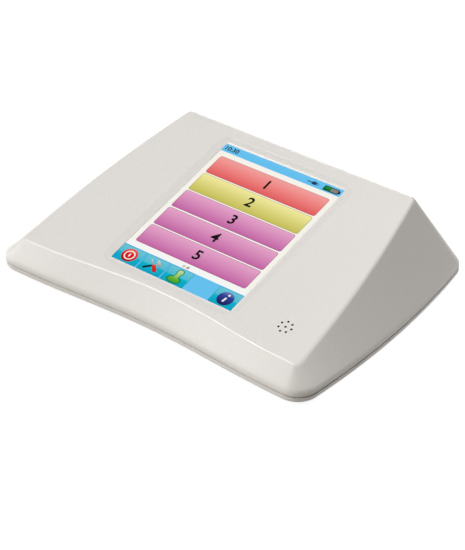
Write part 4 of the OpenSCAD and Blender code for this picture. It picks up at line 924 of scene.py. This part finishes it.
# %% Keys and marks
KEYS = [(-45.6, -27.6), (-26.7, -9.3), (-8.5, 8.8), (28.0, 45.4)]
KEY_V0, KEY_V1, KEY_R, KEY_RIM, KEY_FACE_R = -57.4, -44.0, 0.8, 0.28, 0.6
key_stops = [(KEY_V0, "#02A2C1"), (-51.0, "#06B2CC"), (-50.6, "#4DBDD2"), (KEY_V1, "#6DC6DA")]
keys = [rounded_plate(u0, u1, KEY_V0, KEY_V1, KEY_R, ON_PAGE, flat("#1794B4"))
        for u0, u1 in KEYS]
keys += [rounded_plate(u0 + KEY_RIM, u1 - KEY_RIM, KEY_V0 + KEY_RIM, KEY_V1 - KEY_RIM,
                       KEY_FACE_R, ON_RIM, key_stops) for u0, u1 in KEYS]
picture_piece("screen_keys", keys)
MARK_U, MARK_V, MARK_R = 1.5, -41.9, 1.1
picture_piece("screen_page_marks", [
    disc(-MARK_U, MARK_V, MARK_R, MARK_R, ON_PAGE, flat("#D0CCC6")),
    disc(MARK_U, MARK_V, MARK_R, MARK_R, ON_PAGE, flat("#ABA8A2"))])

# %% Symbols on the keys and in the bar
pale, green, frost, black, slate = "#F6F3F0", "#078132", "#E3F0F2", "#0A0E10", "#1B3F5C"
steel = [(-50.0, "#8D9094"), (-46.0, "#D9DCDE")]
leaf = [(-56.4, "#2F9A35"), (-53.0, "#62B232"), (-50.0, "#A6CC6F"), (-45.4, "#C2DCAC")]
navy = [(-56.2, "#1C1952"), (-52.5, "#262C7A"), (-49.0, "#314294"), (-45.6, "#7585C2")]
symbols = [
    # a ring with a bar in it: switch off
    disc(-36.5, -50.8, 5.4, 5.3, ON_KEY,
         [(-56.1, "#960D09"), (-51.5, "#D71109"), (-45.5, "#EE5B52")]),
    disc(-36.5, -50.8, 3.7, 3.7, ON_SIGN, flat(pale)),
    disc(-36.5, -50.8, 2.9, 2.9, (W5 - SINK, W5 + 0.02),
         [(-53.7, "#D71109"), (-49.6, "#D71109"), (-47.9, "#E86969")]),
    stroke((-36.5, -52.1), (-36.5, -49.5), 1.0, (W5, W5 + 0.04), flat(pale)),
    # crossed tools: settings
    stroke((-22.4, -46.4), (-18.2, -50.6), 0.8, ON_KEY, steel),
    stroke((-18.2, -50.1), (-14.0, -54.7), 2.5, ON_KEY_TALL,
           [(-55.6, "#B01008"), (-50, "#E8362C")], 1.1),
    stroke((-18.6, -50.6), (-15.8, -47.9), 1.0, ON_KEY, steel),
    stroke((-17.9, -45.7), (-13.6, -50.0), 1.7, ON_KEY_TALL,
           [(-50.0, "#8F8A85"), (-46.0, "#D7D4CF")]),
    stroke((-23.4, -54.8), (-18.6, -50.7), 1.7, ON_KEY_TALL, flat("#132018"), 0.9),
    # head and shoulders: the list of patients
    disc(0.3, -47.3, 2.5, 2.5, ON_KEY, flat(green)),
    stroke((0.2, -48.0), (-0.2, -53.6), 3.4, ON_KEY, flat(green), 1.4),
    disc(-0.2, -53.8, 5.0, 2.9, ON_KEY, flat(green)),
    disc(0.3, -47.3, 1.9, 1.9, ON_SIGN, leaf),
    stroke((0.2, -48.2), (-0.2, -53.4), 2.3, ON_SIGN, leaf, 1.6),
    disc(-0.2, -53.8, 4.2, 2.1, ON_SIGN, leaf),
    # an i: information
    disc(36.7, -50.9, 5.4, 5.3, ON_KEY, navy),
    stroke((36.2, -53.8), (37.0, -50.0), 1.3, ON_SIGN, flat(frost)),
    disc(37.4, -47.9, 0.8, 0.8, ON_SIGN, flat(frost)),
    # the battery's charge
    area(32.1, 43.1, 52.2, 56.3, flat(black), W2, 0.5),
    area(43.0, 44.1, 53.3, 55.2, flat(black), W2, 0.2),
    area(32.8, 37.5, 52.9, 55.7, [(52.9, "#056B27"), (55.7, "#1C9A45")], W3, 0.2),
    area(37.5, 42.5, 52.9, 55.7, flat("#88847E"), W3, 0.2),
    # a plug: the mains is connected
    stroke((19.6, 54.3), (23.4, 54.3), 0.7, ON_PAGE, flat(slate)),
    area(23.2, 26.4, 53.0, 55.6, flat(slate), W3, 0.7),
    stroke((26.0, 53.7), (28.2, 53.7), 0.5, ON_PAGE, flat(slate)),
    stroke((26.0, 54.9), (28.2, 54.9), 0.5, ON_PAGE, flat(slate))]
picture_piece("screen_symbols", symbols)

# %% [markdown]
# ## Numbers
# Numbers are set in Blender's own plain typeface, turned into a mesh, thickened by a few
# hundredths of a millimetre and laid on the face with the same formula as the rest.
# %% Numbers on the screen
BOLDER, CAPITAL_SHARE, NUMBER_HEIGHT, CLOCK_HEIGHT = 0.022, 0.7, 7.6, 3.4


def number(words, u, v, height, layer, code, align="CENTER"):
    """Text as a mesh, in points, faces and colours: the outline is filled and made thicker,
    its doubled points are merged, and it is laid on the face at (u, v)."""
    curve = bpy.data.curves.new("words", "FONT")
    curve.body, curve.size, curve.align_x, curve.align_y = words, 1.0, align, "CENTER"
    curve.resolution_u = 4
    curve.extrude, curve.offset = 0.5, BOLDER
    thing = bpy.data.objects.new("words", curve)
    bpy.context.scene.collection.objects.link(thing)
    bpy.context.view_layer.update()
    mesh = bpy.data.meshes.new_from_object(
        thing.evaluated_get(bpy.context.evaluated_depsgraph_get()))
    bpy.data.objects.remove(thing)
    welded = bmesh.new()
    welded.from_mesh(mesh)
    bmesh.ops.remove_doubles(welded, verts=welded.verts, dist=1e-5)
    bmesh.ops.recalc_face_normals(welded, faces=welded.faces)
    welded.to_mesh(mesh)
    welded.free()
    place, faces = points_of(mesh), faces_of(mesh)
    bpy.data.meshes.remove(mesh)
    uv = place[:, :2] * height / CAPITAL_SHARE + [u, v]
    low, top = layer
    points = on_face(uv, low + (top - low) * (place[:, 2] + 0.5)) * MM
    return points, faces, np.tile(linear(code), (len(points), 1))


numbers = [number(str(k + 1), 0.0, (row[1] + row[2]) / 2, NUMBER_HEIGHT, ON_KEY, "#0C0C0E")
           for k, row in enumerate(BUTTONS)]
numbers.append(number("10:30", -44.7, 54.5, CLOCK_HEIGHT, (W1 - SINK, W3), "#0A1F2C", "LEFT"))
picture_piece("screen_numbers", numbers)

# %% [markdown]
# ## Finishes of the carried-over parts
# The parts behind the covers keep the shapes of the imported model. Each one gets the finish
# that such a part has: moulded plastics, zinc plate, turned brass, solder mask over copper
# tracks, rubber and cable insulation. A row of the table below holds the slot, the finish's
# name, two tints, the roughness, the grain's size and its relief.
# %% Metals
METAL_SPREAD, CRYSTAL_MM = 0.08, 3.0


def plated_metal(name, colour, roughness, grain_mm, stretch=(1, 1, 1), relief=0.1):
    """Bare or plated metal, which mirrors its surroundings softly: noise of the grain's size
    varies the roughness and lifts the surface. A stretch gives the turning marks of a lathe."""
    material, tree, shader = new_finish(name, Metallic=1.0)
    shader.inputs["Base Color"].default_value = linear(colour)
    lay = add(tree, "Mapping", {"Vector": place_on(tree), "Scale": stretch})
    grain = add(tree, "TexNoise", {"Vector": lay.outputs["Vector"], "Scale": per_mm(grain_mm),
                                   "Detail": 4.0})
    matt = add(tree, "MapRange", {"Value": grain.outputs["Fac"],
                                  "To Min": roughness - METAL_SPREAD,
                                  "To Max": roughness + METAL_SPREAD})
    bump = add(tree, "Bump", {"Height": grain.outputs["Fac"], "Strength": relief,
                              "Distance": RELIEF_MM * MM})
    tree.links.new(matt.outputs["Result"], shader.inputs["Roughness"])
    tree.links.new(bump.outputs["Normal"], shader.inputs["Normal"])
    return material


def zinc_sheet(name):
    """Zinc-plated sheet steel: flat crystals about 3 mm across, each a little lighter or
    darker, so the sheet looks patched."""
    material, tree, shader = new_finish(name, Metallic=1.0)
    cells = add(tree, "TexVoronoi", {"Vector": place_on(tree), "Scale": per_mm(CRYSTAL_MM)})
    tone = add(tree, "SeparateColor", {"Color": cells.outputs["Color"]})
    tint = add(tree, "Mix", {"Factor": tone.outputs["Red"], "A": linear("#B4B8BB"),
                             "B": linear("#C9CCCE")}, data_type="RGBA")
    matt = add(tree, "MapRange", {"Value": tone.outputs["Green"], "To Min": 0.28, "To Max": 0.42})
    tree.links.new(tint.outputs["Result"], shader.inputs["Base Color"])
    tree.links.new(matt.outputs["Result"], shader.inputs["Roughness"])
    return material


# %% Board, ribbon and clear parts
TRACK_MM, TRACK_LENGTH_MM, TRACK_WIDTH_MM, FLOW_MM = 1.0, 6.0, 0.12, 6.0


def solder_mask(name):
    """Glossy green lacquer over copper tracks, drawn as bricks whose joints are the tracks,
    1 mm apart."""
    material, tree, shader = new_finish(name, Roughness=0.35, Coat_Weight=0.5, IOR=1.5)
    tracks = add(tree, "TexBrick", {"Vector": place_on(tree), "Scale": 1.0,
                                    "Color1": linear("#0E5A32"), "Color2": linear("#0B4F2C"),
                                    "Mortar": linear("#1C7A48"),
                                    "Brick Width": TRACK_LENGTH_MM * MM,
                                    "Row Height": TRACK_MM * MM,
                                    "Mortar Size": TRACK_WIDTH_MM * MM})
    tree.links.new(tracks.outputs["Color"], shader.inputs["Base Color"])
    return material


def striped_ribbon(name):
    """Glossy amber film with copper conductors 1 mm apart showing through as stripes."""
    material, tree, shader = new_finish(name, Roughness=0.3, Coat_Weight=0.4, IOR=1.6)
    bands = add(tree, "TexWave", {"Vector": place_on(tree),
                                  "Scale": per_mm(TRACK_MM) * math.pi / 10},
                bands_direction="X")
    tint = add(tree, "Mix", {"Factor": bands.outputs["Fac"], "A": linear("#B4762B"),
                             "B": linear("#D6A04A")}, data_type="RGBA")
    tree.links.new(tint.outputs["Result"], shader.inputs["Base Color"])
    return material


def clear_moulding(name, colour, roughness, clear):
    """Translucent plastic or silicone: light passes in part, and faint flow lines show."""
    material, tree, shader = new_finish(name, IOR=1.49, Transmission_Weight=clear)
    flow = add(tree, "TexNoise", {"Vector": place_on(tree), "Scale": per_mm(FLOW_MM),
                                  "Detail": 2.0})
    matt = add(tree, "MapRange", {"Value": flow.outputs["Fac"], "To Min": roughness - 0.05,
                                  "To Max": roughness + 0.08})
    shader.inputs["Base Color"].default_value = linear(colour)
    tree.links.new(matt.outputs["Result"], shader.inputs["Roughness"])
    return material


# %% Finishes of the plastics and the rubber
finishes = {"shell": shell_abs, "screen_glass": lit_glass, "cloth": dust_cloth}
PLASTICS = [
    # slot, name, colour, shade, roughness, grain in mm, relief
    # satin black, in which the connectors stand out
    ("bay_black", "moulded_abs_black", "#202022", "#1B1B1D", 0.48, 0.5, 0.35),
    # a duller, finer black for bought-in parts
    ("part_black", "moulded_pbt_black", "#1A1A1B", "#222224", 0.4, 0.35, 0.2),
    # waxy off-white, with wide soft spots
    ("nylon", "natural_nylon", "#E9E6DA", "#E2DFD2", 0.45, 1.2, 0.15),
    ("header", "cream_nylon_header", "#E4DFC9", "#DAD5BE", 0.5, 0.6, 0.15),
    # glossy red, so the button is found at once
    ("button_red", "moulded_red_abs", "#B4231F", "#A81F1C", 0.28, 0.6, 0.1),
    # shrunk film, glossy and slightly wavy
    ("sleeve_blue", "shrink_sleeve_blue", "#2F4F93", "#284583", 0.25, 4.0, 0.4),
    # smooth wire insulation with a soft gloss
    ("lead_red", "red_wire_insulation", "#A81E1B", "#9C1B18", 0.4, 1.0, 0.1),
    ("lead_grey", "grey_wire_insulation", "#56575A", "#4E4F52", 0.4, 1.0, 0.1),
    ("lead_yellow", "yellow_wire_insulation", "#D3BC3A", "#C9B234", 0.4, 1.0, 0.1),
    # open cells and moulded rubber: nearly no gloss
    ("gasket", "closed_cell_foam", "#151515", "#1D1D1D", 0.9, 0.8, 0.9, 0.2),
    ("rubber", "moulded_rubber", "#242425", "#2C2C2D", 0.78, 0.5, 0.6, 0.3)]
for slot, *recipe in PLASTICS:
    finishes[slot] = moulded_plastic(*recipe)
print("plastics and rubber:", len(PLASTICS))

# %% Finishes of the metals, the board and the clear parts
finishes.update({
    "sheet_steel": zinc_sheet("zinc_plated_sheet"),
    # bluish and fairly bright
    "screw_steel": plated_metal("zinc_plated_screw", "#BFC2C4", 0.3, 0.3),
    # warmer and smoother than zinc
    "plated_nut": plated_metal("nickel_plated_brass", "#C6C1B8", 0.2, 0.25, relief=0.05),
    # yellow, with turning marks round the port's axis
    "brass": plated_metal("turned_brass", "#C8A35A", 0.24, 0.2, (1, 6, 1)),
    "board": solder_mask("green_solder_mask"),
    "ribbon": striped_ribbon("polyimide_ribbon"),
    # clear with a cold tint, and milky silicone
    "clear_plastic": clear_moulding("polished_polycarbonate", "#E8EEF0", 0.1, 0.6),
    "silicone": clear_moulding("silicone_tube", "#DDE3E3", 0.35, 0.3)})
for row in frame["record"]["subparts"]:
    node = frame["nodes"][row["node"]]
    node.data.materials.clear()
    node.data.materials.append(finishes[row["material_slot"]])
print("finishes:", len(finishes), "carried-over parts:", len(frame["nodes"]))

# %% [markdown]
# ## Details of the connectors
# Seen from the back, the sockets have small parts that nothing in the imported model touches:
# the nickel tip of the power inlet's pin, the black tongue and gilt contacts in the USB
# socket, the ferrules round the phone jacks' bores, the contacts of the probe socket, the
# symbol moulded into the power button and the grip on the battery's door. Each one is
# turned, stamped or moulded in the factory, so each is made of rings carried out of the
# panel, and each ridge of the grip is a row of circles.
# %% Shapes square to the rear panel
def on_panel(ring, out):
    """Points (x, z) moved out of the rear panel's face by out."""
    ring = np.asarray(ring, float)
    depth = np.broadcast_to(PANEL_Y + out, ring.shape[:-1])
    return np.stack([ring[..., 0], depth, ring[..., 1]], -1)


def turned(x, z, profile, sides=32, tube=False):
    """Body turned about an axis square to the panel: profile lists (radius, out). A tube's
    profile goes out along its outside and comes back along its bore."""
    a = -np.linspace(0, 2 * math.pi, sides, endpoint=False)
    circle = np.stack([np.cos(a), np.sin(a)], -1)
    rings = [on_panel([x, z] + r * circle, out) for r, out in profile]
    return loft("turned", np.stack(rings) * MM, closed_row=tube)


def block_behind(x, z, width, height, out0, out1, radius=0.05):
    """Round-cornered block from out0 to out1, as two rings."""
    ring = (small_rectangle(width, height, radius) + [x, z])[::-1]
    return loft("block", np.stack([on_panel(ring, out0), on_panel(ring, out1)]) * MM)


def add_detail(name, meshes, slot, body="housing"):
    """One piece from several meshes, with its slot's finish, riding on a body."""
    piece = make_piece(name, joined(name, meshes), finishes[slot])
    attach(piece, body)
    print(name + ":", len(piece.data.polygons), "faces")


# %% Contacts, pins and ferrules
# profiles are (radius, distance out of the panel) in mm, from the parts' usual sizes
INLET_X, USB_X, JACK_X, PROBE_X, BUTTON_X = 36.0, 18.25, (0.5, -17.75), -39.5, 56.25
TONGUE_W, TONGUE_H, CONTACT_W, CONTACT_T, CONTACT_X = 5.7, 3.3, 0.9, 0.12, 1.25
CONTACT_RING_R = 2.6
add_detail("inlet_pin", [turned(INLET_X, BAY_MID_Z, [
    (1.08, -9.9), (1.08, -2.0), (1.0, -1.6), (0.75, -1.42), (0.3, -1.36)])], "plated_nut")
add_detail("usb_tongue", [block_behind(USB_X, BAY_MID_Z, TONGUE_W, TONGUE_H, -8.9, -0.9, 0.3)],
           "part_black")
add_detail("usb_contacts", [
    block_behind(USB_X + s * CONTACT_X, BAY_MID_Z + t * (TONGUE_H + CONTACT_T) / 2,
                 CONTACT_W, CONTACT_T, -7.0, -1.4) for s in both for t in both], "brass")
ferrule = [(3.18, 0.5), (3.18, 4.01), (3.95, 4.01), (3.95, 4.25), (3.85, 4.35), (3.1, 4.35),
           (2.95, 4.2), (2.95, 0.5)]
add_detail("jack_ferrules", [turned(x, BAY_MID_Z, ferrule, 48, True) for x in JACK_X],
           "plated_nut")
sleeve = [(0.54, -12.4), (0.54, -9.3), (0.48, -9.22), (0.38, -9.22), (0.32, -9.3), (0.32, -12.4)]
contact_places = [(0.0, 0.0)] + [(CONTACT_RING_R * math.cos(a), CONTACT_RING_R * math.sin(a))
                                 for a in np.arange(6) * math.pi / 3]
add_detail("probe_contacts", [turned(PROBE_X + u, BAY_MID_Z + v, sleeve, 16, True)
                              for u, v in contact_places], "brass")

# %% Symbol on the power button
BUTTON_FACE, DIMPLE_R, DIMPLE_DEEP = 2.7, 10.0, 0.5
SYMBOL_R, SYMBOL_LINE, BAR_FOOT, BAR_TOP = 2.0, 0.5, 0.7, 2.7


def band_on_button(path, width):
    """Strip of this width along a path of (x, z) from the button's middle. Its face follows
    the dimple: out = face - depth + R - sqrt(R^2 - r^2), and lies 0.03 mm above it."""
    path = np.asarray(path, float)
    way = np.gradient(path, axis=0)
    across = np.stack([way[:, 1], -way[:, 0]], -1)
    across *= width / 2 / np.linalg.norm(across, axis=1, keepdims=True)
    ring = np.stack([path + across, path + across, path - across, path - across], 1)
    dish = BUTTON_FACE - DIMPLE_DEEP + DIMPLE_R - np.sqrt(DIMPLE_R ** 2 - (ring ** 2).sum(-1))
    out = dish + np.array([-0.1, 0.03, 0.03, -0.1])
    return loft("band", on_panel(ring + [BUTTON_X, BAY_MID_Z], out) * MM)


a = np.radians(np.linspace(125, 415, 40))
ring_path = SYMBOL_R * np.stack([np.cos(a), np.sin(a)], -1)
bar_path = np.stack([np.zeros(9), np.linspace(BAR_FOOT, BAR_TOP, 9)], -1)
add_detail("button_symbol", [band_on_button(path, SYMBOL_LINE) for path in (ring_path, bar_path)],
           "nylon", "button")

# %% Grip on the battery's door
def ridge(y, half_length=9.0, radius=0.6):
    """Round ridge along x whose radius is r * sqrt(1 - s^8), s from -1 to 1 along it."""
    s = np.linspace(-1, 1, 15)
    r = radius * np.sqrt(1 - 0.995 * s ** 8)
    a = np.linspace(0, 2 * math.pi, 16, endpoint=False)
    rings = np.stack([np.broadcast_to((DOOR[0] + half_length * s)[:, None], (15, 16)),
                      y + r[:, None] * np.cos(a), LIP_Z + 0.15 + r[:, None] * np.sin(a)], -1)
    return loft("ridge", rings * MM)


GRIP_START, RIDGE_STEP, RIDGES = 12.0, 2.2, 5
add_detail("door_grip", [ridge(DOOR[1] - GRIP_START + RIDGE_STEP * k) for k in range(RIDGES)],
           "shell")

# %% [markdown]
# ## Table and light
# The photograph has a pure white ground and soft light, mostly from above and from the left
# front: the sloping face and the front are equally bright, the right side is in half shade,
# and no hard shadow falls on the table. The front crease alone shows a thin bright line, as
# the mirror image of one small lamp high on the left.
# Five wide lamps and that small one are distant, so their light is the same on every part.
# Each strength was fitted to faces whose tilt is known. The room adds light from near the
# ground, mostly on the lit side, as a bright table and floor would. The table and a far round
# backdrop are painted matt and glow a little, so they stay white in every view.
# %% Table
PAINT_CLOUD_MM, PAINT_SHADE = 300.0, 0.94


def white_paint(name, glow, colour):
    """Matt white paint, faintly uneven, that gives back a little light of its own."""
    material, tree, shader = new_finish(name, Roughness=0.7, Emission_Strength=glow)
    cloud = add(tree, "TexNoise", {"Vector": place_on(tree), "Scale": per_mm(PAINT_CLOUD_MM)})
    shade = tuple(PAINT_SHADE * c for c in linear(colour)[:3]) + (1.0,)
    tint = add(tree, "Mix", {"Factor": cloud.outputs["Fac"], "A": shade,
                             "B": linear(colour)}, data_type="RGBA")
    tree.links.new(tint.outputs["Result"], shader.inputs["Base Color"])
    shader.inputs["Emission Color"].default_value = (1.0, 1.0, 1.0, 1.0)
    return material


TABLE, TABLE_T, TABLE_R = 22000.0, 20.0, 1000.0
table_line = small_rectangle(TABLE, TABLE, TABLE_R, 6)
table_mesh = loft("table", np.stack([level(table_line, -TABLE_T), level(table_line, 0.0)]) * MM)
table = make_piece("table", table_mesh, white_paint("matt_white_table", 0.9, "#9F9F9F"))
table.visible_diffuse = False
print("table:", TABLE / 1000, "m wide")

# %% Backdrop
BACKDROP_R, BACKDROP_H, BACKDROP_T, BACKDROP_FOOT = 10000.0, 6000.0, 100.0, -10.0
a = np.linspace(0, 2 * math.pi, 96, endpoint=False)
near_line = BACKDROP_R * np.stack([np.cos(a), np.sin(a)], -1)
far_line = near_line * (1 + BACKDROP_T / BACKDROP_R)
backdrop_mesh = loft("backdrop", np.stack([
    level(near_line, BACKDROP_FOOT), level(far_line, BACKDROP_FOOT),
    level(far_line, BACKDROP_H), level(near_line, BACKDROP_H)]) * MM, closed_row=True)
backdrop = make_piece("backdrop", backdrop_mesh,
                      white_paint("matt_white_backdrop", 1.0, "#050505"))
backdrop.visible_diffuse = backdrop.visible_glossy = backdrop.visible_shadow = False
print("backdrop:", BACKDROP_R / 1000, "m away")

# %% Lamps
def soft_sun(name, toward_light, strength, spread):
    """A distant round light of this spread in degrees. A white face square to it shows its
    strength."""
    data = bpy.data.lights.new(name, "SUN")
    data.energy = strength * math.pi
    data.angle = math.radians(spread)
    lamp = bpy.data.objects.new(name, data)
    x, y, z = toward_light
    lamp.rotation_euler = (math.atan2(math.hypot(x, y), z), 0.0, math.atan2(y, x) + math.pi / 2)
    bpy.context.scene.collection.objects.link(lamp)
    return lamp


LAMPS = [
    # name, direction towards it, strength, spread
    ("overhead_softbox", (0.06, 0.45, 0.89), 0.42, 60.0),
    ("front_softbox", (-0.41, -0.71, 0.57), 0.175, 50.0),
    ("left_softbox", (-0.81, -0.47, 0.34), 0.42, 50.0),
    ("back_left_softbox", (-0.51, 0.80, 0.31), 0.13, 26.0),
    ("right_softbox", (0.45, 0.25, 0.86), 0.12, 50.0),
    ("edge_lamp", (-0.525, -0.12, 0.84), 0.15, 7.0)]
lamps = [soft_sun(*row) for row in LAMPS]
print("lamps:", [lamp.name for lamp in lamps])

# %% Room
LIT_SIDE = (-0.45, -0.89, 0.0)
STEEP_Z, SHALLOW_Z, GROUND_GAIN, HORIZON = -0.5, -0.12, 1.9, 0.02


def studio_room(above, below_lit, below_shaded):
    """World light: one colour above the horizon, and below it the light that the ground gives
    back. That runs from lit to shaded with the direction's part along LIT_SIDE, and from none
    straight below to its full gain near the horizon."""
    room = bpy.data.worlds.new("studio_room")
    room.use_nodes = True
    tree = room.node_tree
    tree.nodes.clear()
    way = add(tree, "TexCoord").outputs["Generated"]
    side = add(tree, "VectorMath", {0: way, 1: LIT_SIDE}, operation="DOT_PRODUCT")
    share = add(tree, "MapRange", {"Value": side.outputs["Value"], "From Min": -1.0})
    ground = add(tree, "Mix", {"Factor": share.outputs["Result"], "A": below_shaded,
                               "B": below_lit}, data_type="RGBA")
    parts = add(tree, "SeparateXYZ", {"Vector": way})
    gain = add(tree, "MapRange", {"Value": parts.outputs["Z"], "From Min": STEEP_Z,
                                  "From Max": SHALLOW_Z, "To Min": 0.0, "To Max": GROUND_GAIN})
    ground = add(tree, "VectorMath", {0: ground.outputs["Result"],
                                      "Scale": gain.outputs["Result"]}, operation="SCALE")
    height = add(tree, "MapRange", {"Value": parts.outputs["Z"], "From Min": -HORIZON,
                                    "From Max": HORIZON})
    tint = add(tree, "Mix", {"Factor": height.outputs["Result"], "A": ground.outputs["Vector"],
                             "B": above}, data_type="RGBA")
    sky = add(tree, "Background", {"Color": tint.outputs["Result"]})
    add(tree, "OutputWorld", {"Surface": sky.outputs["Background"]})
    return room


bpy.context.scene.world = studio_room((0.07, 0.065, 0.055, 1.0), (0.86, 0.82, 0.73, 1.0),
                                      (0.07, 0.06, 0.05, 1.0))
bpy.context.scene.view_settings.view_transform = "Standard"
print("room:", bpy.context.scene.world.name)
